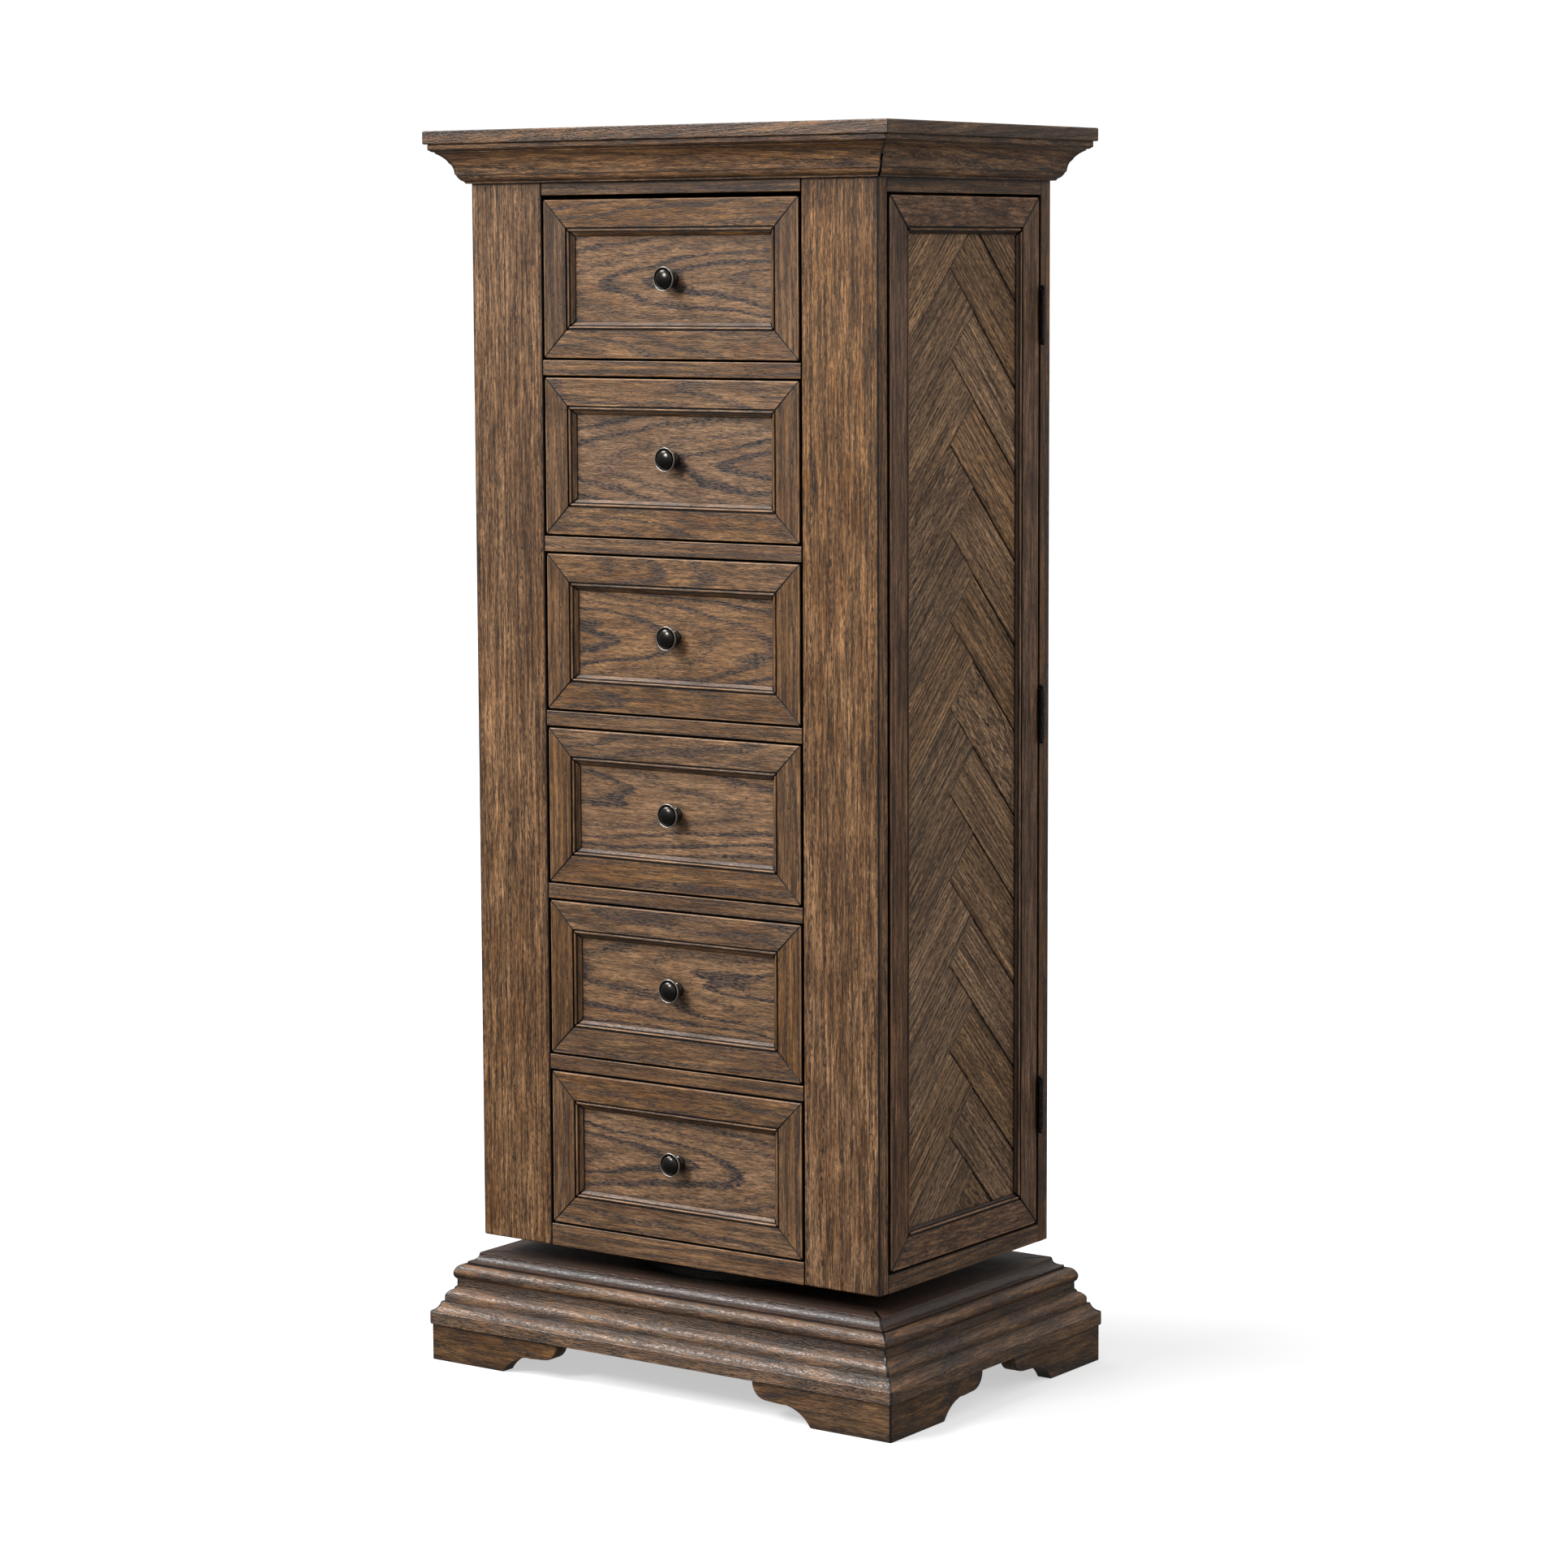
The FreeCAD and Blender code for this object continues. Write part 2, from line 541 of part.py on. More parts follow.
def make_hooks():
    """A bar with a row of necklace pegs, high on each partition."""
    face = f"({OPENING} + Sizes.partition_thickness)"
    top = f"({SIDE_HEAD} - Sizes.hook_bar_drop)"
    bar = board("right_hook_bar", (face, f"{face} + Sizes.hook_bar_thickness"),
                ("-Sizes.hook_bar_length / 2", "Sizes.hook_bar_length / 2"),
                (f"{top} - Sizes.hook_bar_height", top))
    right = [bar]
    for index in range(HOOKS):
        place = f"(Sizes.hook_bar_length * ({index} + 0.5) / {HOOKS} - Sizes.hook_bar_length / 2)"
        middle = f"({top} - Sizes.hook_bar_height / 2)"
        start = f"({face} + Sizes.hook_bar_thickness)"
        peg = rod(f"peg_{index}", "Sizes.hook_diameter / 2", "Sizes.hook_reach",
                  (start, place, middle), (1, 0, 0))
        knob = ball(f"peg_ball_{index}", "Sizes.hook_ball_diameter / 2",
                    (f"{start} + Sizes.hook_reach", place, middle))
        right.append(joined(f"hook_{index}", peg, knob))
    sub_part("necklace_hooks", *right, *[mirrored(f"{piece.Name}_left", piece) for piece in right])


def make_slide_rails():
    """Outer slide channels on the partitions, open towards the drawer."""
    rails = []
    for index in range(DRAWERS):
        channel = slide_channel(f"slide_rail_{index}", OPENING, "-", "Sizes.slide_channel_height",
                                "Sizes.slide_channel_depth", slide_middle(index))
        rails += [channel, mirrored(f"slide_rail_{index}_left", channel)]
    sub_part("slide_rails", *rails)


def slide_middle(index):
    """Height of a drawer's slides: the middle of its box sides."""
    top = f"({DRAWER_TOP} - {index} * {PITCH})"
    return f"({top} - (Sizes.box_drop + {DRAWER_H} - Sizes.box_raise) / 2)"


def slide_channel(name, face, sign, height, depth, middle):
    """A channel on a face at X = face, opening along -X (sign -) or +X."""
    metal = "Sizes.slide_metal"
    start = f"({FRONT_BACK} + Sizes.slide_setback)"
    span = (start, f"{start} + min(Sizes.slide_length; {BOX_BACK} - {start})")

    def along_x(near, far):
        ends = (f"{face} {sign} {near}", f"{face} {sign} {far}")
        return ends if sign == "+" else ends[::-1]

    blank = board(f"{name}_blank", along_x("0", depth), span,
                  (f"{middle} - {height} / 2", f"{middle} + {height} / 2"))
    inside = board(f"{name}_inside", along_x(metal, f"({depth} + 1)"),
                   (f"{span[0]} - 1", f"{span[1]} + 1"),
                   (f"{middle} - {height} / 2 + {metal}", f"{middle} + {height} / 2 - {metal}"))
    return cut(name, blank, inside)


# ---------------------------------------------------------------- drawers
def make_drawers():
    """The pieces of one drawer are made about the uppermost front and set down by the pitch."""
    front_y = f"-{HALF_D}"
    recess, panel = "Sizes.panel_recess", "Sizes.drawer_panel_thickness"
    face, bead = "Sizes.drawer_frame_width", "Sizes.drawer_bead_width"
    inset = f"({face} + {bead} - Sizes.tongue)"
    screw = "Sizes.knob_screw_diameter / 2"
    section = frame_outline(face, bead, recess, panel, "Sizes.drawer_front_thickness")
    lengths = framed("drawer_frame", section, DRAWER_W, DRAWER_H, (f"-{face} - {bead}", "0"))
    middle = f"({DRAWER_TOP} - {DRAWER_H} / 2)"

    half = f"({DRAWER_W} / 2 - {inset})"
    panel_y = (f"{front_y} + {recess}", f"{front_y} + {recess} + {panel}")
    sheet_board = board("drawer_panel_board", (f"-{half}", half), panel_y,
                        (f"{middle} - {DRAWER_H} / 2 + {inset}", f"{middle} + {DRAWER_H} / 2 - {inset}"))
    inner_front = f"({BOX_FRONT} + Sizes.box_back_thickness)"
    screw_run = f"({inner_front} + {HALF_D} - {recess})"
    drilled = rod("screw_hole", screw, f"{screw_run} + 2",
                  ("0", f"{front_y} + {recess} - 1", middle), (0, 1, 0))
    panel_board = cut("drawer_panel_drilled", sheet_board, drilled)

    side = "Sizes.box_side_thickness"
    low = f"({DRAWER_TOP} - {DRAWER_H} + Sizes.box_raise)"
    high = f"({DRAWER_TOP} - Sizes.box_drop)"
    inside = f"({BOX_SIDE} - {side})"
    right_side = board("box_side", (inside, BOX_SIDE), (BOX_FRONT, BOX_BACK), (low, high))
    inner = board("box_inner_front", (f"-{inside}", inside), (BOX_FRONT, inner_front), (low, high))
    back = board("box_back", (f"-{inside}", inside), (f"{BOX_BACK} - Sizes.box_back_thickness", BOX_BACK),
                 (low, high))
    bottom_z = f"({low} + Sizes.box_bottom_lift)"
    bottom = board("box_bottom", (f"-{inside}", inside),
                   (inner_front, f"{BOX_BACK} - Sizes.box_back_thickness"),
                   (bottom_z, f"{bottom_z} + Sizes.box_bottom_thickness"))
    box = [right_side, mirrored("box_side_left", right_side),
           cut("box_inner_front_drilled", inner, drilled), back, bottom]

    runner = slide_channel("drawer_runner", BOX_SIDE, "+",
                           "(Sizes.slide_channel_height - 2 * (Sizes.slide_metal + Sizes.slide_running_gap))",
                           "(Sizes.slide_space - Sizes.slide_metal - Sizes.slide_running_gap)",
                           slide_middle(0))
    runners = [runner, mirrored("drawer_runner_left", runner)]
    knob = make_knob(screw)
    bind(knob, y=f"{front_y} + {recess}", z=middle)
    bolt = joined("knob_screw", rod("screw_shank", screw, f"{screw_run} + 8",
                                    ("0", f"{front_y} + {recess} - 8", middle), (0, 1, 0)),
                  rod("screw_head", f"2 * {screw}", "2.4", ("0", inner_front, middle), (0, 1, 0)))
    for index in range(DRAWERS):
        for part_name, pieces in (("front_frame", lengths), ("front_panel", [panel_board]),
                                  ("box", box), ("runners", runners), ("knob", [knob, bolt])):
            item = sub_part(f"drawer_{index + 1}_{part_name}", *pieces)
            offset = f"({middle}) " if part_name == "front_frame" else "0 "
            bind(item, z=f"{offset}- {index} * {PITCH}")
            if part_name == "front_frame":
                bind(item, y=front_y)


def make_knob(screw):
    """A turned knob on the Y axis, pointing along -Y: foot, neck, cup, raised ring and dome."""
    radius, length = "(Sizes.knob_diameter / 2)", "Sizes.knob_length"
    rim, rise = f"({radius} - 3.6)", "4.2"
    dome = f"-(({rim} ^ 2 + {rise} ^ 2) / (2 * {rise}))"
    body = doc.addObject("PartDesign::Body", "knob_turning")
    turned = body.newObject("PartDesign::Revolution", "knob_revolution")
    corners = [(screw, "0"), ("8", "0"), ("8", "-1.6", "3"), ("6", "-3.4"), ("5.5", "-6", "8"),
               (f"{radius} - 2", f"-{length} + 8.4"), (radius, f"-{length} + 7", "-2"),
               (f"{radius} - 1.2", f"-{length} + {rise}"), (rim, f"-{length} + {rise}", dome),
               ("0", f"-{length}"), ("0", "-8"), (screw, "-8")]
    turned.Profile = outline(body, "knob_outline", "XY_Plane", corners)
    turned.ReferenceAxis = (turned.Profile[0], ["V_Axis"])
    turned.Angle = 360
    return body


# ---------------------------------------------------------------- side doors
def make_doors():
    face, bead = "Sizes.door_frame_width", "Sizes.door_bead_width"
    recess, panel = "Sizes.door_panel_recess", "Sizes.door_panel_thickness"
    width, height = f"({DOOR_BACK} - {DOOR_FRONT})", f"({DOOR_TOP} - {DOOR_BOTTOM})"
    section = frame_outline(face, bead, recess, panel, "Sizes.door_thickness")
    lengths = framed("door_frame", section, width, height, (f"-{face} - {bead}", "0"))
    right = sub_part("right_door_frame", *lengths)
    right.Placement = Placement(Vector(), Rotation(Vector(0, 0, 1), 90))
    bind(right, x=HALF_W, y=f"({DOOR_BACK} + {DOOR_FRONT}) / 2", z=f"({DOOR_TOP} + {DOOR_BOTTOM}) / 2")
    sub_part("left_door_frame", mirrored("left_door_lengths", right))

    inset = f"({face} + {bead} - Sizes.tongue)"
    panel_board = board("right_panel_board",
                        (f"{HALF_W} - {recess} - {panel}", f"{HALF_W} - {recess}"),
                        (f"{DOOR_FRONT} + {inset}", f"{DOOR_BACK} - {inset}"),
                        (f"{DOOR_BOTTOM} + {inset}", f"{DOOR_TOP} - {inset}"))
    sub_part("right_door_panel", panel_board)
    sub_part("left_door_panel", mirrored("left_panel_board", panel_board))


def knuckle(name, low, high, bore):
    barrel = rod(f"{name}_barrel", "Sizes.hinge_barrel_diameter / 2", f"({high}) - ({low})",
                 (PIN_X, PIN_Y, low))
    return barrel, rod(f"{name}_bore", bore, f"({high}) - ({low}) + 2", (PIN_X, PIN_Y, f"{low} - 1"))


def leaf(name, sign, spans, middle, bore):
    """A hinge leaf flat against its edge of the gap, with its knuckles over the given spans."""
    thin, half = "Sizes.hinge_leaf_thickness", "Sizes.hinge_length / 2"
    gap = "Sizes.door_hinge_gap / 2"
    near, far = f"{PIN_Y} {sign} ({gap} - {thin})", f"{PIN_Y} {sign} {gap}"
    y = (near, far) if sign == "+" else (far, near)
    clear = "(Sizes.hinge_barrel_diameter / 2 + Sizes.hinge_knuckle_gap)"
    pieces = [board(f"{name}_plate", (f"{PIN_X} - Sizes.hinge_leaf_width", f"{PIN_X} - {clear}"), y,
                    (f"{middle} - {half}", f"{middle} + {half}"))]
    bores = []
    for index, (low, high) in enumerate(spans):
        barrel, hole = knuckle(f"{name}_{index}", low, high, bore)
        arm = board(f"{name}_arm_{index}", (f"{PIN_X} - {clear} - 1", PIN_X), y, (low, high))
        pieces += [barrel, arm]
        bores.append(hole)
    return cut(name, joined(f"{name}_solid", *pieces), *bores)


def make_hinges():
    """Three butt hinges on a door: the outer knuckles and the pin stay with the cabinet."""
    pin, half = "Sizes.hinge_pin_diameter / 2", "Sizes.hinge_length / 2"
    sixth, slack = "Sizes.hinge_length / 6", "Sizes.hinge_knuckle_gap"
    fixed, moving = [], []
    for index in range(HINGES):
        share = f"{index} / {HINGES - 1}"
        run = f"({DOOR_TOP} - {DOOR_BOTTOM} - Sizes.hinge_bottom_distance - Sizes.hinge_top_distance)"
        middle = f"({DOOR_BOTTOM} + Sizes.hinge_bottom_distance + {run} * {share})"
        outer = [(f"{middle} - {half}", f"{middle} - {sixth} - {slack} / 2"),
                 (f"{middle} + {sixth} + {slack} / 2", f"{middle} + {half}")]
        inner = [(f"{middle} - {sixth} + {slack} / 2", f"{middle} + {sixth} - {slack} / 2")]
        fixed.append(leaf(f"fixed_leaf_{index}", "+", outer, middle, pin))
        moving.append(leaf(f"door_leaf_{index}", "-", inner, middle, f"{pin} + Sizes.hinge_pin_clearance"))
        shaft = rod(f"hinge_pin_shaft_{index}", pin, "Sizes.hinge_length",
                    (PIN_X, PIN_Y, f"{middle} - {half}"))
        tip = "Sizes.hinge_tip_diameter / 2"
        tips = [ball(f"hinge_tip_{index}_{end}", tip, (PIN_X, PIN_Y, f"{middle} {way} ({half} + {tip})"))
                for end, way in (("low", "-"), ("high", "+"))]
        neck = rod(f"hinge_neck_{index}", f"{pin} - 0.2", "Sizes.hinge_length + 2",
                   (PIN_X, PIN_Y, f"{middle} - {half} - 1"))
        fixed.append(joined(f"hinge_pin_{index}", shaft, neck, *tips))
    sub_part("cabinet_hinge_leaves", *fixed, *[mirrored(f"{item.Name}_left", item) for item in fixed])
    return moving


def make_catches(moving_leaves):
    """Magnetic catches behind the front frame meet strike plates inside each door's front edge."""
    strike_in = f"({DOOR_IN} - Sizes.strike_thickness)"
    reach = f"({strike_in} - Sizes.catch_air)"
    catches, strikes = [], []
    for index, (edge, way) in enumerate(((DOOR_BOTTOM, "+"), (DOOR_TOP, "-"))):
        middle = f"({edge} {way} Sizes.catch_end_distance)"
        span = (f"{middle} - Sizes.catch_length / 2", f"{middle} + Sizes.catch_length / 2")
        catches.append(board(f"catch_{index}", (f"{reach} - Sizes.catch_width", reach),
                             (FRONT_BACK, f"{FRONT_BACK} + Sizes.catch_depth"), span))
        strikes.append(board(f"strike_{index}", (strike_in, DOOR_IN),
                             (f"{DOOR_FRONT} + 1", f"{FRONT_BACK} + Sizes.catch_depth"), span))
    sub_part("door_catches", *catches, *[mirrored(f"{item.Name}_left", item) for item in catches])
    right = moving_leaves + strikes
    sub_part("right_door_hardware", *right)
    sub_part("left_door_hardware", *[mirrored(f"{item.Name}_left", item) for item in right])


make_base()
make_swivel()
make_carcass()
make_back()
make_hooks()
make_slide_rails()
make_drawers()
make_doors()
make_catches(make_hinges())
doc.recompute()

# ---------------------------------------------------------------- checks and files
broken = [item.Name for item in doc.Objects if {"Invalid", "Error"} & set(item.State)]
if broken:
    raise RuntimeError(f"these did not recompute: {broken}")
for item in sub_parts:
    if item.Shape.isNull() or not item.Shape.isValid() or not item.Shape.Solids:
        raise RuntimeError(f"{item.Label} has no sound shape")
os.makedirs("parts", exist_ok=True)
for item in sub_parts:
    item.Shape.exportStep(f"parts/{item.Label}.step")
print(f"{len(sub_parts)} sub-parts")
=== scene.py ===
import math
import random

import bmesh
import bpy
from mathutils import Matrix, Vector

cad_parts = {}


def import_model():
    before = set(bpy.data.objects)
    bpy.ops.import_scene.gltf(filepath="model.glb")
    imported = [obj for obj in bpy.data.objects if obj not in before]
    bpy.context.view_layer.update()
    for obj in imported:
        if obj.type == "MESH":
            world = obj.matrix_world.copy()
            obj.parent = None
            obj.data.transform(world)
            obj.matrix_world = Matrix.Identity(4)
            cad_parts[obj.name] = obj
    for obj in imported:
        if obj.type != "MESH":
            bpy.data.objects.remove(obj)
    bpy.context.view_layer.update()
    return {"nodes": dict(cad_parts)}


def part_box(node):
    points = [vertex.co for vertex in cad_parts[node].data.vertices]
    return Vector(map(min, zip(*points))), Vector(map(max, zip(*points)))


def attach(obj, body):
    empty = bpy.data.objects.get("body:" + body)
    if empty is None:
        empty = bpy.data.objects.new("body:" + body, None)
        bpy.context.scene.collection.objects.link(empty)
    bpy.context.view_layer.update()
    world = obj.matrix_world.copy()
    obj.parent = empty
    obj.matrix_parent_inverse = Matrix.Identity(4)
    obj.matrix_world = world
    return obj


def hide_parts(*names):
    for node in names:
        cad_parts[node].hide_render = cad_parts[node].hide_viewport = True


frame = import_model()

# Looks of the swivelling jewelry armoire.  Metres, +Z up, the drawers face -Y.
draw = random.Random(11)
MM = 0.001
DRAWERS = 6
PARTITION = 12 * MM                                 # thickness of the boards beside the drawers
FIRST_APEX, PLANK_WIDTH = 1266 * MM, 68.34 * MM     # of the doors' herringbone
PLANK_THICK = 3.6 * MM
FINE_GROOVE, WIDE_GROOVE = (0.12, 0.6), (0.6, 1.4)  # half gap and chamfer, in millimetres
STAIN_AND_SHADE, PAINTED_HIGHLIGHT = 0.97, -0.7                            # stain_and_painted_light values: dark stain in joints, painted shade in gaps and grooves; a painted highlight on an arris
X, Y, Z = Vector((1, 0, 0)), Vector((0, 1, 0)), Vector((0, 0, 1))


# ------------------------------------------------------------------ node trees
class Tree:
    """The node tree of a material or the world, built by short calls that return an output socket."""

    def __init__(self, owner):
        owner.use_nodes = True
        self.owner = owner
        self.nodes, self.links = owner.node_tree.nodes, owner.node_tree.links
        self.shader = self.nodes.get("Principled BSDF")

    def put(self, target, value):
        if isinstance(value, bpy.types.NodeSocket):
            self.links.new(value, target)
        elif target.type == "VECTOR" and isinstance(value, (int, float)):
            target.default_value = (value,) * 3
        else:
            target.default_value = value

    def add(self, kind, output=0, inputs=(), **settings):
        node = self.nodes.new(kind)
        for key, value in settings.items():
            setattr(node, key, value)
        for key, value in dict(inputs).items():
            self.put(node.inputs[key], value)
        return node.outputs[output]

    def attribute(self, name, output="Fac"):
        return self.add("ShaderNodeAttribute", output, attribute_name=name)

    def math(self, operation, first, second=0.0, clamp=False):
        return self.add("ShaderNodeMath", 0, {0: first, 1: second}, operation=operation, use_clamp=clamp)

    def line(self, value, slope, rise):
        """value * slope + rise"""
        return self.add("ShaderNodeMath", 0, {0: value, 1: slope, 2: rise}, operation="MULTIPLY_ADD")

    def vector(self, operation, first, second=(0, 0, 0), output=0):
        return self.add("ShaderNodeVectorMath", output, {0: first, 1: second}, operation=operation)

    def noise(self, place, stretch, detail=2.0, rough=0.5, output="Fac"):
        stretched = self.vector("MULTIPLY", place, stretch)
        return self.add("ShaderNodeTexNoise", output,
                        {"Vector": stretched, "Scale": 1.0, "Detail": detail, "Roughness": rough})

    def ramp(self, value, stops):
        node = self.nodes.new("ShaderNodeValToRGB")
        band = node.color_ramp
        while len(band.elements) < len(stops):
            band.elements.new(0.5)
        for element, (place, level) in zip(band.elements, stops):
            element.position = place
            element.color = (level, level, level, 1) if isinstance(level, (int, float)) else (*level, 1)
        self.put(node.inputs["Fac"], value)
        return node.outputs["Color"]

    def mix(self, share, first, second, blend="MIX"):
        node = self.nodes.new("ShaderNodeMix")
        node.data_type = "RGBA"
        node.blend_type = blend
        self.put(node.inputs[0], share)
        for index, value in ((6, first), (7, second)):
            is_socket = isinstance(value, bpy.types.NodeSocket)
            self.put(node.inputs[index], value if is_socket else (*value, 1))
        return node.outputs[2]

    def set(self, **values):
        names = {"color": "Base Color", "rough": "Roughness", "metal": "Metallic", "normal": "Normal",
                 "specular": "Specular IOR Level"}
        for key, value in values.items():
            self.put(self.shader.inputs[names[key]], value)

    def bump(self, height, strength, distance):
        return self.add("ShaderNodeBump", 0, {"Strength": strength, "Distance": distance, "Height": height})

    def shade(self, color, value, stops):
        """Multiply a colour by a grey ramp."""
        return self.mix(1.0, color, self.ramp(value, stops), "MULTIPLY")


def scaled(color, factor):
    return tuple(factor * channel for channel in color)


def wood(name, light, deep, dark, ring, figure, rough, pores=0.5, fibre=0.35, worn=0.25, wave=1.0,
         fine=560, long=22, gloss=0.4, bands=1.0, tooth=0.5):
    """Stained, wire-brushed wood.  The pieces carry three attributes.  grain is the place along the
    board and the distances from the pith across and into it, so the rings make cathedrals by
    themselves.  tone lightens or darkens a whole board.  stain_and_painted_light is dark stain in the
    joints and painted shade in the gaps, quirks and grooves where it is positive, and a painted
    highlight on an arris where it is negative.
    light and deep are the ground's colours and dark the rings'; ring is a ring's width in metres.
    figure, pores, fibre, bands, worn and tooth say how strongly the rings, the open pores, the fibres,
    the dark streaks, the light wear and the relief show, and wave how wavy the rings run.  fine and
    long are the fibres' frequency and stretch."""
    tree = Tree(bpy.data.materials.new(name))
    place = tree.attribute("grain", "Vector")
    middle = (0.5, 0.5, 0.5)
    # Growth rings round the pith, wavy and ragged.
    slow = tree.vector("SUBTRACT", tree.noise(place, (5, 24, 24), 2, output="Color"), middle)
    ragged = tree.vector("SUBTRACT", tree.noise(place, (60, 300, 300), 3, 0.7, "Color"), middle)
    moved = tree.vector("ADD", place, tree.vector("MULTIPLY", slow, (0, 0.026 * wave, 0.026 * wave)))
    moved = tree.vector("ADD", moved, tree.vector("MULTIPLY", ragged, (0, 0.0032, 0.0032)))
    radius = tree.vector("LENGTH", tree.vector("MULTIPLY", moved, (0, 1, 1)), output="Value")
    turns = tree.math("DIVIDE", radius, ring)
    each = tree.add("ShaderNodeTexWhiteNoise", "Value", {"W": tree.math("FLOOR", turns)},
                    noise_dimensions="1D")
    late = tree.ramp(tree.math("FRACT", turns), [(0, 0.4), (0.05, 0.05), (0.18, 0), (0.56, 0.05),
                                                 (0.7, 0.75), (0.8, 1), (0.95, 1), (1, 0.4)])
    band = tree.math("MULTIPLY", late, tree.line(each, 0.6, 0.4))
    # Fibres, pores, cloudy patches and long streaks.
    hair = tree.noise(place, (fine / long, fine, fine), 4, 0.72)
    dash = tree.noise(place, (130, 700, 700), 3, 0.6)
    pore = tree.ramp(dash, [(0.45, 0), (0.57, 1)])
    patch = tree.noise(place, (11, 34, 34), 4, 0.65)
    streak = tree.noise(place, (3, 90, 90), 3, 0.6)
    line = tree.noise(place, (7, 250, 250), 3, 0.65)
    ground = tree.mix(tree.ramp(patch, [(0.36, 0), (0.64, 1)]), light, deep)
    ground = tree.shade(ground, hair, [(0.36, max(1 - fibre, 0.12)), (0.5, 0.95), (0.66, 1 + fibre)])
    ground = tree.shade(ground, streak, [(0.32, 1 - 0.28 * bands), (0.65, 1.16)])
    ground = tree.shade(ground, line, [(0.40, 1 - 0.5 * bands), (0.55, 1.12)])
    bright = tree.ramp(tree.noise(place, (55, 900, 900), 2, 0.6), [(0.56, 0), (0.72, worn)])
    ground = tree.mix(bright, ground, scaled(light, 1.9))
    shown = tree.math("MULTIPLY", band, tree.line(pore, 0.5 * figure, 0.5 * figure), clamp=True)
    color = tree.mix(shown, ground, dark)
    open_share = tree.math("MULTIPLY", pore, tree.line(band, 0.45 * pores, 0.55 * pores))
    color = tree.mix(open_share, color, scaled(dark, 0.32))
    # Small dark distressing marks, and a slow drift of colour.
    spots = tree.add("ShaderNodeTexVoronoi", "Distance",
                     {"Vector": tree.vector("MULTIPLY", place, (52, 80, 80)), "Scale": 1.0})
    speck = tree.ramp(tree.math("ADD", spots, tree.math("MULTIPLY", hair, 0.06)), [(0.075, 0.9), (0.12, 0)])
    color = tree.mix(speck, color, (0.010, 0.007, 0.005))
    drift = tree.ramp(tree.noise(place, (0.7, 0.7, 0.7), 0), [(0.3, 0.98), (0.7, 1.14)])
    color = tree.add("ShaderNodeHueSaturation", 0,
                     {"Saturation": drift, "Value": tree.attribute("tone"), "Color": color})
    # Painted highlights on the arrises, and painted shade in the corners (ambient occlusion) and in the
    # gaps and grooves, with dark stain in the joints.
    corner = tree.add("ShaderNodeAmbientOcclusion", "AO", {"Distance": 0.014}, samples=3)
    stain_and_painted_light = tree.attribute("stain_and_painted_light")
    highlight_share = tree.math("MULTIPLY", stain_and_painted_light, -1.0, clamp=True)
    highlight_mask = tree.math("MULTIPLY", highlight_share, tree.ramp(hair, [(0.4, 0.2), (0.6, 1)]))
    color = tree.mix(highlight_mask, color, scaled(light, 1.9))
    # painted shade: ambient occlusion darkens the corners and crevices
    painted_shade = tree.math("MAXIMUM", stain_and_painted_light, tree.ramp(corner, [(0.3, 0.97), (0.86, 0)]))
    color = tree.mix(painted_shade, color, (0.008, 0.005, 0.004))
    # Brushed relief, and a duller film on what faces up.
    relief = tree.math("SUBTRACT", tree.math("MULTIPLY", hair, 0.8), tree.math("MULTIPLY", pore, 0.5))
    relief = tree.math("SUBTRACT", relief, tree.math("MULTIPLY", speck, 0.8))
    facing = tree.add("ShaderNodeSeparateXYZ", "Z", {0: tree.add("ShaderNodeNewGeometry", "Normal")})
    dust = tree.ramp(facing, [(0.965, 0), (0.995, 0.34)])
    tree.set(color=color, rough=tree.math("ADD", tree.line(patch, 0.18, rough - 0.09), dust),
             normal=tree.bump(relief, tooth, 0.0006), specular=gloss)
    return tree.owner


def metal(name, color, rough, worn, metallic=1.0, scale=220):
    """Cast or plated metal with small cloudy wear and a fine pitted surface."""
    tree = Tree(bpy.data.materials.new(name))
    place = tree.add("ShaderNodeTexCoord", "Object")
    cloud = tree.noise(place, (scale,) * 3, 4, 0.6)
    pit = tree.noise(place, (scale * 6,) * 3, 2, 0.5)
    share = tree.ramp(cloud, [(0.45, 0), (0.75, 1)])
    tree.set(color=tree.mix(share, color, worn), rough=tree.line(cloud, 0.22, rough - 0.1), metal=metallic,
             normal=tree.bump(pit, 0.05, 0.0001))
    return tree.owner


def silvered_glass():
    tree = Tree(bpy.data.materials.new("silvered_glass"))
    place = tree.add("ShaderNodeTexCoord", "Object")
    haze = tree.noise(place, (14, 14, 14), 3, 0.6)
    tree.set(color=tree.mix(haze, (0.86, 0.88, 0.88), (0.9, 0.91, 0.9)), rough=tree.line(haze, 0.02, 0.015),
             metal=1.0)
    return tree.owner


def plastic(name, color, rough):
    tree = Tree(bpy.data.materials.new(name))
    place = tree.add("ShaderNodeTexCoord", "Object")
    grit = tree.noise(place, (700, 700, 700), 3, 0.6)
    tree.set(color=tree.mix(tree.ramp(grit, [(0.3, 0), (0.8, 1)]), color, scaled(color, 1.5)),
             rough=rough, normal=tree.bump(grit, 0.15, 0.0003))
    return tree.owner


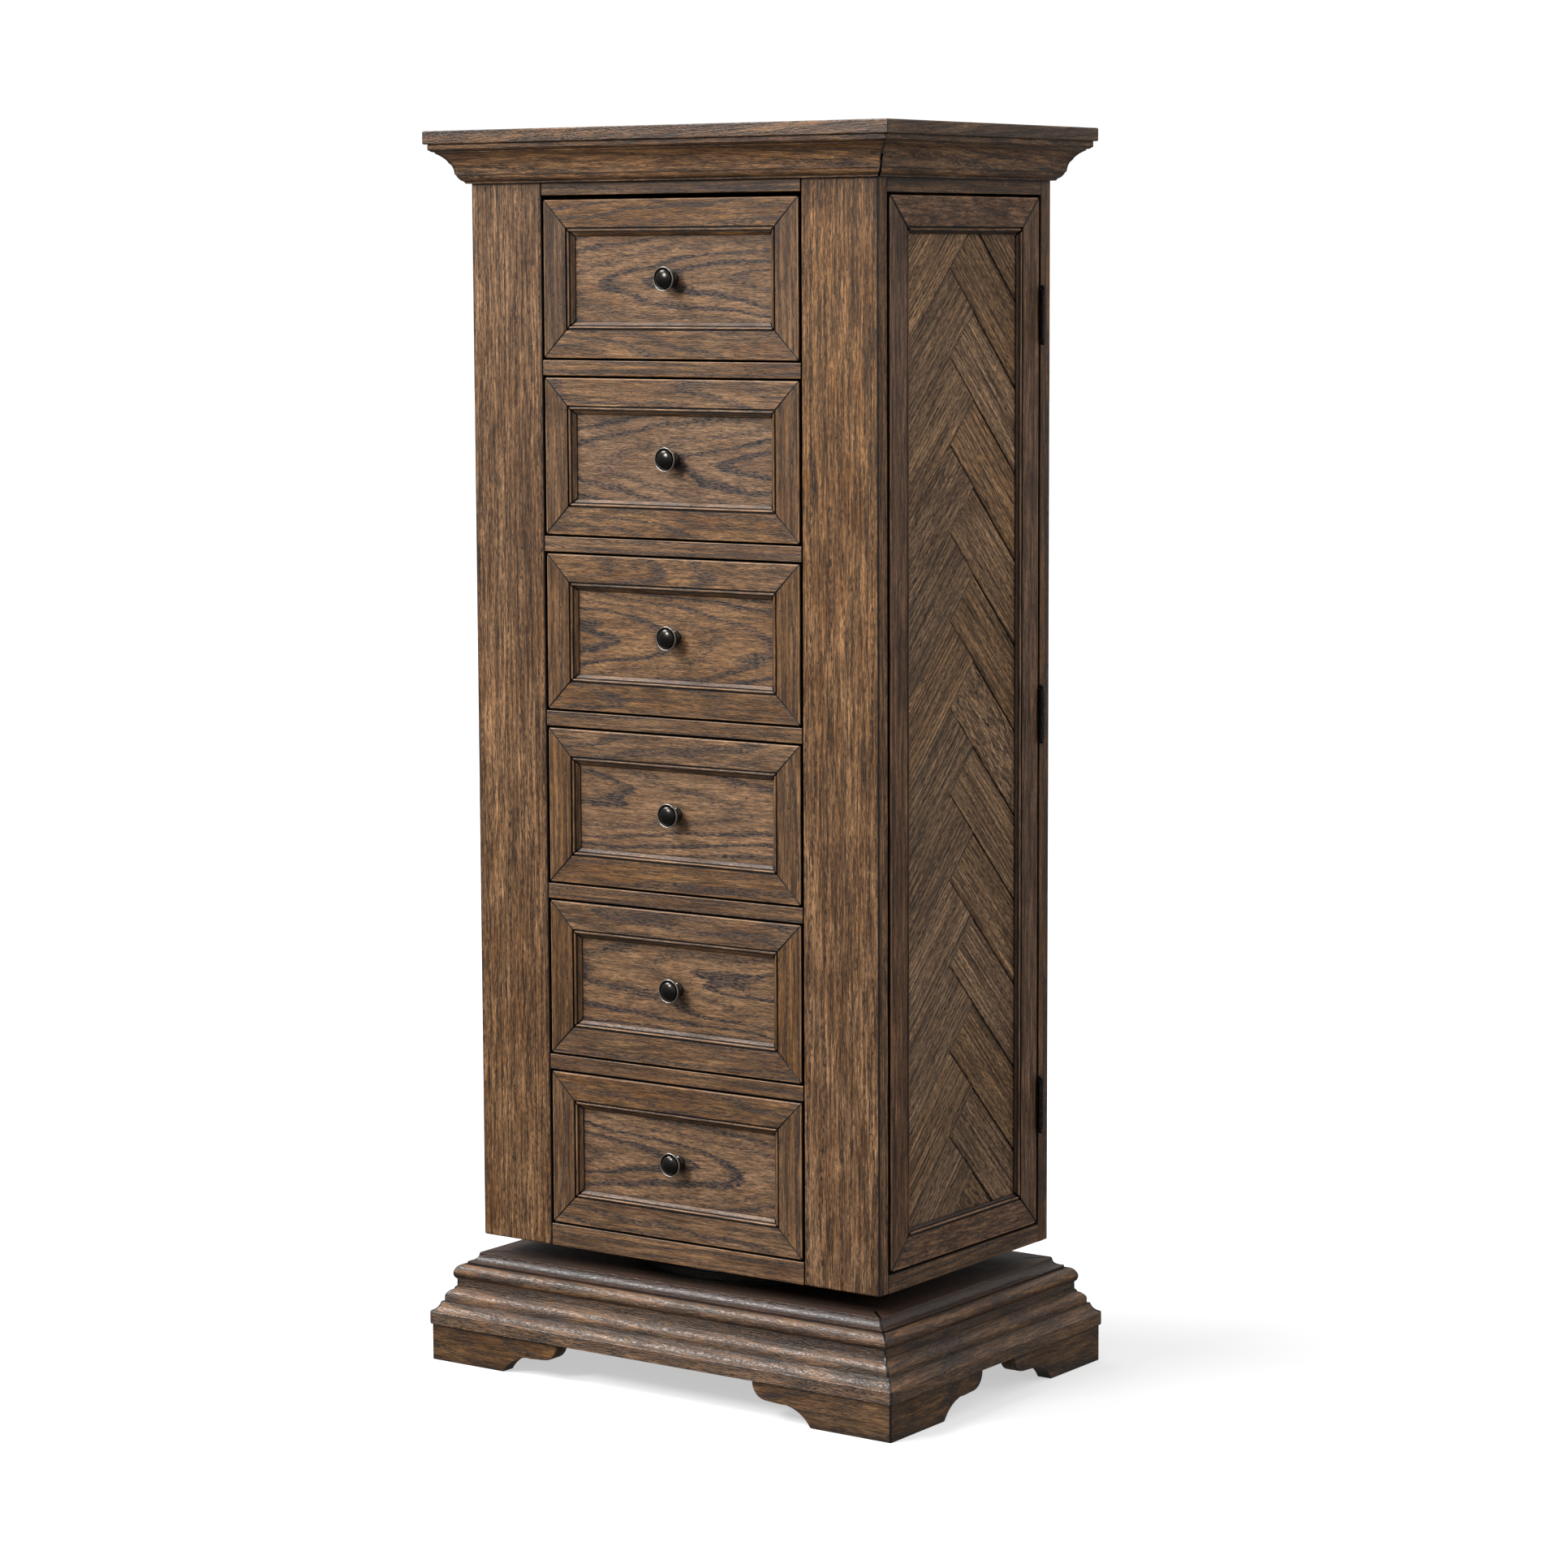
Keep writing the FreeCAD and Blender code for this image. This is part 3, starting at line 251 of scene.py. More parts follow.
WALNUT = wood("walnut", (0.232, 0.129, 0.064), (0.133, 0.064, 0.027), (0.050, 0.035, 0.030),
              0.0100, 1.0, 0.42, 0.6, 0.55, fine=430)
STILE = wood("walnut_straight", (0.302, 0.172, 0.091), (0.155, 0.074, 0.031), (0.046, 0.024, 0.015),
             0.0085, 0.55, 0.44, 0.9, 0.75, 0.45, fine=420)
PANEL = wood("walnut_panel", (0.275, 0.158, 0.084), (0.180, 0.095, 0.046), (0.040, 0.029, 0.027),
             0.0100, 1.4, 0.42, 0.7, 0.5, fine=430, bands=0.5)
SATIN = wood("walnut_moulding", (0.245, 0.134, 0.066), (0.115, 0.054, 0.024), (0.034, 0.020, 0.014),
             0.0125, 0.8, 0.33, 0.6, 0.7, 0.35, fine=420, gloss=0.6, tooth=0.9)
SMOOTH = wood("walnut_dark_moulding", (0.050, 0.024, 0.014), (0.030, 0.015, 0.009), (0.018, 0.011, 0.008),
              0.0125, 0.4, 0.24, 0.3, 0.2, 0.0, gloss=0.45, bands=0.4)
DOOR = wood("walnut_door", (0.262, 0.144, 0.082), (0.122, 0.060, 0.030), (0.038, 0.021, 0.015),
            0.009, 0.6, 0.40, 0.6, 0.7, 0.3, fine=420)
PLANK = wood("walnut_plank", (0.335, 0.206, 0.118), (0.225, 0.132, 0.073), (0.055, 0.036, 0.027),
             0.0052, 0.3, 0.46, 1.0, 1.15, 0.6, 0.2, fine=480, long=70, gloss=0.3, bands=0.5)
INSIDE = wood("interior_wood", (0.36, 0.235, 0.14), (0.27, 0.165, 0.095), (0.15, 0.09, 0.055),
              0.011, 0.45, 0.55, 0.3, 0.2)
BRONZE = metal("dark_bronze", (0.050, 0.046, 0.042), 0.20, (0.040, 0.035, 0.031), scale=90)
RUBBED = metal("rubbed_bronze", (0.40, 0.38, 0.35), 0.28, (0.24, 0.22, 0.20), 0.9, scale=90)
BLACK = metal("black_metal", (0.016, 0.014, 0.014), 0.36, (0.05, 0.042, 0.036), 0.7)
# Painted shade: the races are near black so the swivel gap reads dark.
RACE = metal("race_steel_darkened_as_gap_shade", (0.022, 0.021, 0.020), 0.4, (0.05, 0.045, 0.04))
STEEL = metal("zinc_steel", (0.55, 0.55, 0.56), 0.3, (0.42, 0.42, 0.44))
MIRROR = silvered_glass()
NYLON = plastic("glide_nylon", (0.05, 0.045, 0.04), 0.6)
CATCH = plastic("catch_plastic", (0.02, 0.02, 0.02), 0.45)


# ------------------------------------------------------------------ meshes
def obj(name, bm, material, smooth=35):
    """Turn a bmesh into a shaded object."""
    mesh = bpy.data.meshes.new(name)
    bmesh.ops.recalc_face_normals(bm, faces=bm.faces)
    bm.to_mesh(mesh)
    bm.free()
    mesh.shade_smooth()
    mesh.set_sharp_from_angle(angle=math.radians(smooth))
    mesh.materials.append(material)
    item = bpy.data.objects.new(name, mesh)
    bpy.context.scene.collection.objects.link(item)
    even = item.modifiers.new("even_normals", "WEIGHTED_NORMAL")
    even.keep_sharp = True
    even.weight = 80
    return item


def new_mesh():
    """An empty mesh with the attributes that the wood reads."""
    bm = bmesh.new()
    bm.verts.layers.float_vector.new("grain")
    bm.verts.layers.float.new("tone")
    bm.verts.layers.float.new("stain_and_painted_light")
    return bm


def layers(bm):
    verts = bm.verts.layers
    return verts.float_vector["grain"], verts.float["tone"], verts.float["stain_and_painted_light"]


class Cut:
    """How a board was cut from the log: the ring centre's place and tilt, and the board's tone."""

    def __init__(self, along, face, flat=True, tone=1.0, spread=0.09):
        self.along, self.face = along.normalized(), face.normalized()
        self.across = self.face.cross(self.along)
        self.tone = tone * draw.uniform(1 - spread, 1 + spread)
        self.start = draw.uniform(-5, 5)
        self.side = draw.uniform(-0.02, 0.02) if flat else draw.choice((-1, 1)) * draw.uniform(0.12, 0.25)
        self.deep = draw.uniform(0.022, 0.045) if flat else draw.uniform(0.02, 0.09)
        self.tilt = draw.choice((-1, 1)) * (draw.uniform(0.05, 0.13) if flat else draw.uniform(0.0, 0.02))

    def mark(self, bm, verts, centre, stain_and_painted_light=None):
        grain, tone, dark = layers(bm)
        for vert in verts:
            off = vert.co - centre
            along = off.dot(self.along)
            vert[grain] = Vector((along + self.start, off.dot(self.across) + self.side,
                                  self.deep + off.dot(self.face) + self.tilt * along))
            vert[tone] = self.tone
            vert[dark] = stain_and_painted_light(vert) if stain_and_painted_light else 0.0


def place_of(verts):
    """The middle of the box round some vertices."""
    low = Vector([min(v.co[i] for v in verts) for i in range(3)])
    high = Vector([max(v.co[i] for v in verts) for i in range(3)])
    return (low + high) / 2


def slab(bm, low, high, cut, ease=0.7 * MM, segments=2, stain_and_painted_light=None):
    """A board between two corners, with eased edges."""
    made = bmesh.ops.create_cube(bm, size=1)["verts"]
    low, high = Vector(low), Vector(high)
    size, middle = high - low, (high + low) / 2
    for vert in made:
        vert.co = Vector([vert.co[i] * size[i] + middle[i] for i in range(3)])
    if ease:
        # Keys of a dict, because a set's order changes from run to run.
        edges = list(dict.fromkeys(edge for vert in made for edge in vert.link_edges))
        bevelled = bmesh.ops.bevel(bm, geom=edges, offset=ease, segments=segments, profile=0.5,
                                   affect="EDGES", clamp_overlap=True)
        made = list(dict.fromkeys(vert for face in bevelled["faces"] for vert in face.verts))
    cut.mark(bm, made, middle, stain_and_painted_light)


def ease_corners(points, reach, steps=2):
    """Round the sharp corners of a closed outline.  A point is (outwards, up, glaze)."""
    out = []
    for index, (a, b, dark) in enumerate(points):
        before, here, after = points[index - 1], Vector((a, b)), points[(index + 1) % len(points)]
        back, ahead = Vector(before[:2]) - here, Vector(after[:2]) - here
        turn = math.pi - back.angle(ahead)
        cut = min(reach, back.length * 0.4, ahead.length * 0.4)
        if turn < math.radians(28):
            out.append((a, b, dark))
            continue
        first, last = here + back.normalized() * cut, here + ahead.normalized() * cut
        for step in range(steps + 1):
            t = step / steps
            spot = first * (1 - t) ** 2 + here * 2 * t * (1 - t) + last * t ** 2
            out.append((spot.x, spot.y, dark))
    return out


def arc(start, end, radius, steps, dark=0.0):
    """Points after start, up to end, on an arc whose centre is on the left for a positive radius."""
    start, end = Vector(start), Vector(end)
    chord = end - start
    reach = math.sqrt(max(radius ** 2 - chord.length ** 2 / 4, 0))
    left = Vector((-chord.y, chord.x)).normalized()
    centre = (start + end) / 2 + left * math.copysign(reach, radius)
    first = math.atan2(*(start - centre).yx)
    last = math.atan2(*(end - centre).yx)
    swing = (last - first) % math.tau if radius > 0 else -((first - last) % math.tau)
    return [(centre.x + abs(radius) * math.cos(first + swing * i / steps),
             centre.y + abs(radius) * math.sin(first + swing * i / steps), dark)
            for i in range(1, steps + 1)]


def centre_of(outline):
    count = len(outline)
    return Vector((sum(p[0] for p in outline) / count, sum(p[1] for p in outline) / count))


def loft(bm, rings):
    """Join rings of vertices into a closed prism, and return its vertices."""
    count = len(rings[0])
    for near, far in zip(rings, rings[1:]):
        for i in range(count):
            j = (i + 1) % count
            bm.faces.new((near[i], near[j], far[j], far[i]))
    bm.faces.new(rings[0][::-1])
    bm.faces.new(rings[-1])
    return [vert for ring in rings for vert in ring]


def mitred(bm, outline, run, matrix, cut, veer):
    """One mitred length along its local X, from an outline of (outwards, up, glaze) points.
    The ends slope at 45 degrees and are slightly veed, so the joint reads as a fine dark line."""
    joint = 0.3 * veer
    middle = centre_of(outline)
    rings, shade = [], {}
    for side in (-1, 1):
        for inset, back, stain in ((veer, 0, STAIN_AND_SHADE), (0, veer, 0.85), (0, veer + 0.7 * MM, 0))[::-side]:
            ring = []
            for out, up, dark in outline:
                toward = middle - Vector((out, up))
                shrink = toward.normalized() * inset if toward.length > inset else Vector((0, 0))
                x = side * (run / 2 + out - joint - back)
                spot = bm.verts.new(matrix @ Vector((x, out + shrink.x, up + shrink.y)))
                shade[spot] = max(dark, stain) if stain else dark
                ring.append(spot)
            rings.append(ring)
    cut.mark(bm, loft(bm, rings), matrix.translation, lambda vert: shade[vert])


def turned(bm, outline, centre, axis, steps=48, caps=True):
    """Spin an outline of (radius, along) points about an axis."""
    side = axis.orthogonal().normalized()
    other = axis.cross(side)
    angles = [math.tau * i / steps for i in range(steps)]
    spokes = [side * math.cos(angle) + other * math.sin(angle) for angle in angles]
    rings = []
    for radius, along in outline:
        if radius < 1e-7:
            rings.append([bm.verts.new(centre + axis * along)])
            continue
        rings.append([bm.verts.new(centre + axis * along + spoke * radius) for spoke in spokes])
    for near, far in zip(rings, rings[1:]):
        for i in range(steps):
            j = (i + 1) % steps
            loop = [near[i % len(near)], near[j % len(near)], far[j % len(far)], far[i % len(far)]]
            unique = list(dict.fromkeys(loop))
            if len(unique) > 2:
                bm.faces.new(unique)
    if caps:
        for ring in (rings[0], rings[-1]):
            if len(ring) > 2:
                bm.faces.new(ring)


def finish_piece(item, body, slot, *nodes):
    """Put a piece on its body, in place of the CAD nodes it dresses; slot is not used."""
    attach(item, body)
    if nodes:
        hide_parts(*nodes)


def turn_z(quarter):
    return Matrix.Rotation(quarter * math.pi / 2, 4, "Z")


# ------------------------------------------------------------------ frame of places
low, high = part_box("front_frame")
FRONT, FRONT_BACK = low.y, high.y                   # faces of the front frame
HALF_W = high.x                                     # half the cabinet's width
FLOOR = low.z                                       # underside of the cabinet
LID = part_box("top_board")[0].z
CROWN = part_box("cornice")[0].z
low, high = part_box("back_frame")
BACK_FRONT, BACK = low.y, high.y                    # faces of the back frame
HALF_D = BACK                                       # half the cabinet's depth


def around(bm, outline, z, face_up, tone=1.0, veer=1.5 * MM):
    """Four mitred lengths round the cabinet, at a height.  face_up: the board's face is its top."""
    for quarter in range(4):
        run, off = (2 * HALF_W, HALF_D) if quarter % 2 == 0 else (2 * HALF_D, HALF_W)
        out = turn_z(quarter).to_3x3() @ Vector((0, -1, 0))
        matrix = Matrix.Translation(out * off + Z * z) @ turn_z(quarter + 2)
        along = turn_z(quarter).to_3x3() @ X
        face = Z if face_up else out
        mitred(bm, outline, run, matrix, Cut(along, face, tone=tone, spread=0.05), veer)


# ------------------------------------------------------------------ base
def make_base():
    platform_low, platform_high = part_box("base_platform")
    over = platform_high.x - HALF_W
    cove = 10.2 * MM
    thick = platform_high.z - platform_low.z
    # Painted shade under the nose, and painted highlights on the two arrises of the cove.
    border, arris_highlight = 20 * MM, -0.8
    outline = [(-border, 0, 0), (over, 0, 0.25), (over, thick - cove - 1.5 * MM, 0),
               (over, thick - cove, arris_highlight)]
    outline += arc((over, thick - cove), (over - cove, thick), -cove, 8)
    outline[-1] = (*outline[-1][:2], arris_highlight)
    outline += [(over - cove - 1.5 * MM, thick, 0), (-border, thick, 0)]
    bm = new_mesh()
    around(bm, ease_corners(outline, 0.5 * MM), platform_low.z, face_up=True)
    inner_x, inner_y = HALF_W - (border - 0.2 * MM), HALF_D - (border - 0.2 * MM)
    slab(bm, (-inner_x, -inner_y, platform_low.z), (inner_x, inner_y, platform_high.z - 0.05 * MM),
         Cut(X, Z), ease=0)
    finish_piece(obj("platform_wood", bm, SMOOTH), "base", "walnut", "base_platform")

    mould_low, mould_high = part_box("base_moulding")
    foot = mould_low.z
    height = mould_high.z - foot
    plinth, ogee, fascia, torus = 46.5 * MM, 36.9 * MM, 23 * MM, 27 * MM
    face, upper = 14.1 * MM, 44 * MM
    # The third values are painted shade, darkest in the quirks and under the steps.
    outline = [(20 * MM, 0, 0.3), (plinth, 0, 0.1), (plinth, face, 0),
               (plinth - 1 * MM, face + 0.8 * MM, 0.1)]
    outline += arc((plinth - 1 * MM, face + 0.8 * MM), (ogee + 1 * MM, upper - 21 * MM), -12 * MM, 7)
    outline += [(ogee, upper - 18.4 * MM, 0.5), (ogee - 2.6 * MM, upper - 18.4 * MM, 0.45),
                (ogee - 2.6 * MM, upper - 15.5 * MM, 0.1)]
    outline += arc((ogee - 2.6 * MM, upper - 15.5 * MM), (ogee - 9.6 * MM, upper - 4 * MM), 10 * MM, 8)
    outline += [(fascia + 2.3 * MM, upper - 3 * MM, 0.5), (fascia + 2.3 * MM, upper - 0.5 * MM, 0.1),
                (fascia, upper - 0.5 * MM, 0.5), (fascia, height - 15.5 * MM, 0.45),
                (torus - 2 * MM, height - 14 * MM, 0.1)]
    outline += arc((torus - 2 * MM, height - 14 * MM), (16.1 * MM, height), 9 * MM, 9)
    outline[-1] = (*outline[-1][:2], 0.5)
    outline += [(3 * MM, height, 0.3), (3 * MM, upper, 0), (20 * MM, upper, 0)]
    bm = new_mesh()
    around(bm, ease_corners(outline, 0.5 * MM), foot, face_up=False)
    finish_piece(obj("base_moulding_wood", bm, SATIN), "base", "walnut", "base_moulding")
    make_feet(foot)


def make_feet(top):
    reach, thick, flat, long = 44.5 * MM, 19 * MM, 105 * MM, 186 * MM
    # The third values are painted shade along the bottom of the scroll and at its top.
    scroll = [(0, 0, 0), (flat, 0, 0.2)]
    scroll += arc((flat, 0), (flat + 42 * MM, 21 * MM), -45 * MM, 10)
    scroll += [(long - 18 * MM, 22.5 * MM, 0)]
    scroll += arc((long - 18 * MM, 22.5 * MM), (long, top), 19 * MM, 10)
    scroll += [(0, top, 0.3)]
    for label, sx, sy in (("front_right", 1, -1), ("front_left", -1, -1),
                          ("back_right", 1, 1), ("back_left", -1, 1)):
        bm = new_mesh()
        corner = Vector((sx * (HALF_W + reach), sy * (HALF_D + reach), 0))
        for inward, other in ((Vector((-sx, 0, 0)), Vector((0, -sy, 0))),
                              (Vector((0, -sy, 0)), Vector((-sx, 0, 0)))):
            shell_board(bm, scroll, corner, inward, other, thick)
        block = 38 * MM
        a = corner + Vector((-sx * thick, -sy * thick, 4 * MM))
        b = corner + Vector((-sx * (thick + block), -sy * (thick + block), top))
        slab(bm, Vector(map(min, a, b)), Vector(map(max, a, b)), Cut(Z, Y, tone=0.8))
        finish_piece(obj(f"{label}_foot_wood", bm, WALNUT), "base", "walnut", f"{label}_foot")


def shell_board(bm, scroll, corner, along, inward, thick):
    """A scrolled foot board, mitred at its outer corner; its front edge is eased."""
    ease = 1.8 * MM
    middle = centre_of(scroll)
    rings, stained = [], set()
    for depth, inset, stain in ((0, ease + 0.4 * MM, 0), (0, ease, 1), (0.35 * ease, 0.35 * ease, 1),
                                (ease, 0, 1), (thick, 0, 1)):
        ring = []
        for a, z, _ in scroll:
            shift = (middle - Vector((a, z))).normalized() * inset
            start = max(a + shift.x, depth + 0.1 * MM) if a < 1e-9 else a + shift.x
            spot = bm.verts.new(corner + along * start + inward * depth + Z * max(z + shift.y, 0))
            ring.append(spot)
            if a < 1e-9 and stain:
                stained.add(spot)
        rings.append(ring)
    verts = loft(bm, rings)
    cut = Cut(along, inward * -1, tone=0.72)
    cut.mark(bm, verts, place_of(verts), lambda v: STAIN_AND_SHADE if v in stained else 0.0)


# ------------------------------------------------------------------ cabinet
def make_front_frame():
    bm = new_mesh()
    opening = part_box("drawer_partitions")[1].x - PARTITION
    slit = 0.4 * MM

    def gap_shade_and_joint_stain(vert):
        """Painted shade on the edges that face the drawers and the door and on the back, and a dark stain
        line at the outer corner joint.
        """
        by_drawers = abs(vert.co.x) < opening + 1.6 * MM and vert.co.y > FRONT + 0.6 * MM
        behind = vert.co.y > FRONT_BACK - 0.4 * MM
        corner = 0.1 * MM < vert.co.y - FRONT < 2.0 * MM and abs(vert.co.x) > HALF_W - 2.0 * MM
        return STAIN_AND_SHADE if by_drawers or behind or corner else 0.0

    for sign in (-1, 1):
        xs = sorted((sign * (opening + slit), sign * HALF_W))
        slab(bm, (xs[0], FRONT, FLOOR), (xs[1], FRONT_BACK, LID), Cut(Z, -Y, flat=False, spread=0.03),
             ease=2.1 * MM, segments=4, stain_and_painted_light=gap_shade_and_joint_stain)
    finish_piece(obj("front_stiles_wood", bm, STILE), "cabinet", "walnut", "front_frame")
    bm = new_mesh()
    fronts = [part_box(f"drawer_{n}_front_frame") for n in range(1, DRAWERS + 1)]
    gap, top_gap = 2.4 * MM, 5 * MM
    levels = [(fronts[0][1].z + top_gap, LID)]
    levels += [(below[1].z + gap, above[0].z - gap) for above, below in zip(fronts, fronts[1:])]
    levels += [(FLOOR, fronts[-1][0].z - gap)]
    # Rails: painted shade on the faces behind the front, and a painted highlight on the top arris.
    for bottom, top in levels:
        slab(bm, (-opening + slit, FRONT, bottom), (opening - slit, FRONT_BACK, top),
             Cut(X, -Y, flat=False, spread=0.05), ease=1.0 * MM, segments=3,
             stain_and_painted_light=lambda v, ridge=top: (0.95 if v.co.y > FRONT + 0.6 * MM else
                                         PAINTED_HIGHLIGHT if v.co.z > ridge - 0.9 * MM else 0.0))
    finish_piece(obj("front_rails_wood", bm, WALNUT), "cabinet", "walnut")


def make_side_rails():
    low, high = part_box("side_rails")
    thick, sill = 19 * MM, 20.5 * MM
    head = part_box("right_door_frame")[1].z + 2.9 * MM
    bm = new_mesh()
    for sign in (-1, 1):
        xs = sorted((sign * (HALF_W - thick), sign * HALF_W))
        for bottom, top in ((FLOOR, FLOOR + sill), (head, LID)):
            slab(bm, (xs[0], low.y, bottom), (xs[1], high.y, top), Cut(Y, X * sign, flat=False, tone=0.85),
                 ease=0.8 * MM)
    finish_piece(obj("side_rails_wood", bm, WALNUT), "cabinet", "walnut", "side_rails")


def make_back():
    """The frame round the mirror: a front layer with a lip over the glass, and a wider rear layer."""
    width, foot_rail, top_rail = 62 * MM, 80 * MM, 124 * MM
    inner = HALF_W - width
    lip, lap = 10 * MM, 8 * MM
    bm = new_mesh()
    for sign in (-1, 1):
        xs = sorted((sign * inner, sign * HALF_W))
        slab(bm, (xs[0], BACK - lip, FLOOR), (xs[1], BACK, LID), Cut(Z, Y, flat=False),
             ease=1 * MM, segments=3)
        xs = sorted((sign * (inner + lap), sign * HALF_W))
        slab(bm, (xs[0], BACK_FRONT, FLOOR), (xs[1], BACK - lip, LID), Cut(Z, Y, flat=False),
             ease=0.3 * MM)
    foot, head = FLOOR + foot_rail, LID - top_rail
    for bottom, top, low_z, high_z in ((FLOOR, foot, FLOOR, foot - lap), (head, LID, head + lap, LID)):
        slab(bm, (-inner, BACK - lip, bottom), (inner, BACK, top), Cut(X, Y), ease=1 * MM, segments=3)
        slab(bm, (-inner - lap, BACK_FRONT, low_z), (inner + lap, BACK - lip, high_z), Cut(X, Y),
             ease=0.3 * MM)
    finish_piece(obj("back_frame_wood", bm, WALNUT), "cabinet", "walnut", "back_frame")


def make_top():
    low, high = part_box("top_board")
    over, thick, border = high.x - HALF_W, high.z - low.z, 26 * MM
    # Painted shade along the underside of the overhang.
    outline = [(-border, 0, 0), (over, 0, 0.3), (over, thick, 0), (-border, thick, 0)]
    bm = new_mesh()
    around(bm, ease_corners(outline, 1.6 * MM, 4), low.z, face_up=True, veer=0.5 * MM)
    inner_x, inner_y = HALF_W - border - 0.2 * MM, HALF_D - border - 0.2 * MM
    slab(bm, (-inner_x, -inner_y, low.z), (inner_x, inner_y, high.z), Cut(X, Z), ease=0.5 * MM)
    finish_piece(obj("top_board_wood", bm, SATIN), "cabinet", "walnut", "top_board")
    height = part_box("cornice")[1].z - CROWN
    band, cove, foot, ovolo, fillet = 35.6 * MM, 29.8 * MM, 13.2 * MM, 12 * MM, 5.3 * MM
    # The third values are painted shade in the quirks and under the fillets.
    outline = [(0, 0, 0.2), (fillet, 0, 0), (fillet, 2 * MM, 0.4)]
    outline += arc((fillet, 2 * MM), (ovolo, 9 * MM), 8 * MM, 7)
    outline += [(foot, 9.3 * MM, 0.45)]
    outline += arc((foot, 9.3 * MM), (cove, height - 9 * MM), -29 * MM, 12)
    outline += [(cove, height - 7.5 * MM, 0.4)]
    outline += arc((cove, height - 7.5 * MM), (band - 1 * MM, height - 5.5 * MM), 5 * MM, 5)
    outline += [(band, height - 5.5 * MM, 0.2), (band, height, 0.3), (0, height, 0)]
    bm = new_mesh()
    around(bm, ease_corners(outline, 0.5 * MM), CROWN, face_up=False, tone=1.35)
    finish_piece(obj("cornice_wood", bm, SATIN), "cabinet", "walnut", "cornice")


def make_inside():
    for node in ("cabinet_bottom", "cabinet_ceiling", "mirror_backing"):
        low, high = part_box(node)
        bm = new_mesh()
        slab(bm, low, high, Cut(X, Z), ease=0.4 * MM)
        finish_piece(obj(f"{node}_wood", bm, INSIDE), "cabinet", "interior_wood", node)
    low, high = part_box("drawer_partitions")
    bm = new_mesh()
    for sign in (-1, 1):
        xs = sorted((sign * (high.x - PARTITION), sign * high.x))
        slab(bm, (xs[0], low.y, low.z), (xs[1], high.y, high.z), Cut(Z, X), ease=0.4 * MM)
    finish_piece(obj("partitions_wood", bm, INSIDE), "cabinet", "interior_wood", "drawer_partitions")


# ------------------------------------------------------------------ panelled frames
def panelled_outline(face, bead, recess, tongue, thick, panel, shade=0.0):
    """Flat face, quirk, bead, sloping strip, groove for the panel, and the back.  Painted shade darkens the
    quirks, the groove and the outer edge, and painted highlights light the bead's crown and the outer
    arris;
    shade is the painted shade on the sloping strip."""
    inner = -(face + bead)
    deep = -2.5 * MM
    bed = -face - 1.7 * MM                          # where the quirk ends and the bead begins
    crown, round_over = -0.12 * MM, 1.38 * MM
    outline = [(-face, 0, 0), (-face, deep, STAIN_AND_SHADE), (bed, deep, STAIN_AND_SHADE), (bed, -1.5 * MM, 0.6)]
    outline += arc((bed, -1.5 * MM), (bed - 1.35 * MM, crown), round_over, 3)
    outline += arc((bed - 1.35 * MM, crown), (bed - 2.7 * MM, -1.5 * MM), round_over, 3, PAINTED_HIGHLIGHT)
    outline += [(bed - 2.8 * MM, -3.1 * MM, STAIN_AND_SHADE), (bed - 4.2 * MM, -3.0 * MM, STAIN_AND_SHADE),
                (bed - 4.3 * MM, -2.6 * MM, max(shade, 0.1)), (inner, -recess + 1.5 * MM, shade),
                (inner, -recess, STAIN_AND_SHADE), (inner + tongue, -recess, 0.9),
                (inner + tongue, -recess - panel, 0.3), (inner, -recess - panel, 0.3),
                (inner, -thick, 0.3), (0, -thick, 0.95), (0, -1.9 * MM, 0.95), (0, -1.3 * MM, 0.3)]
    outline += arc((0, -1.3 * MM), (-1.3 * MM, 0), 1.3 * MM, 4, PAINTED_HIGHLIGHT)
    outline += [(-2.0 * MM, 0, 0)]
    return ease_corners(outline, 0.55 * MM)


def panelled_frame(bm, outline, width, height, matrix, veer, tone=1.0):
    """Four mitred lengths of a frame that faces -Y, centred on the matrix."""
    for quarter in range(4):
        run, off = (width, height) if quarter % 2 == 0 else (height, width)
        turn = Matrix.Rotation(quarter * math.pi / 2, 4, "Y")
        local = turn @ Matrix.Translation((0, 0, off / 2)) @ Matrix.Rotation(math.pi / 2, 4, "X")
        along = (matrix @ turn).to_3x3() @ X
        face = matrix.to_3x3() @ -Y
        cut = Cut(along, face, flat=quarter % 2 == 0, tone=tone)
        mitred(bm, outline, run, matrix @ local, cut, veer)


def make_drawer(number):
    body = f"drawer_{number}"
    low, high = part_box(f"{body}_front_frame")
    outline = panelled_outline(31 * MM, 9.5 * MM, 7.2 * MM, 5 * MM, high.y - low.y, 6 * MM)
    bm = new_mesh()
    middle = Vector((0, low.y, (low.z + high.z) / 2))
    panelled_frame(bm, outline, high.x - low.x, high.z - low.z, Matrix.Translation(middle), 0.8 * MM)
    finish_piece(obj(f"{body}_frame_wood", bm, WALNUT), body, "walnut", f"{body}_front_frame")

    low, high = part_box(f"{body}_front_panel")
    bm = new_mesh()
    slab(bm, low, high, Cut(X, -Y, spread=0.06), ease=0.3 * MM)
    finish_piece(obj(f"{body}_panel_wood", bm, PANEL), body, "walnut_panel", f"{body}_front_panel")
    make_box(body)
    make_knob(body, middle.z)


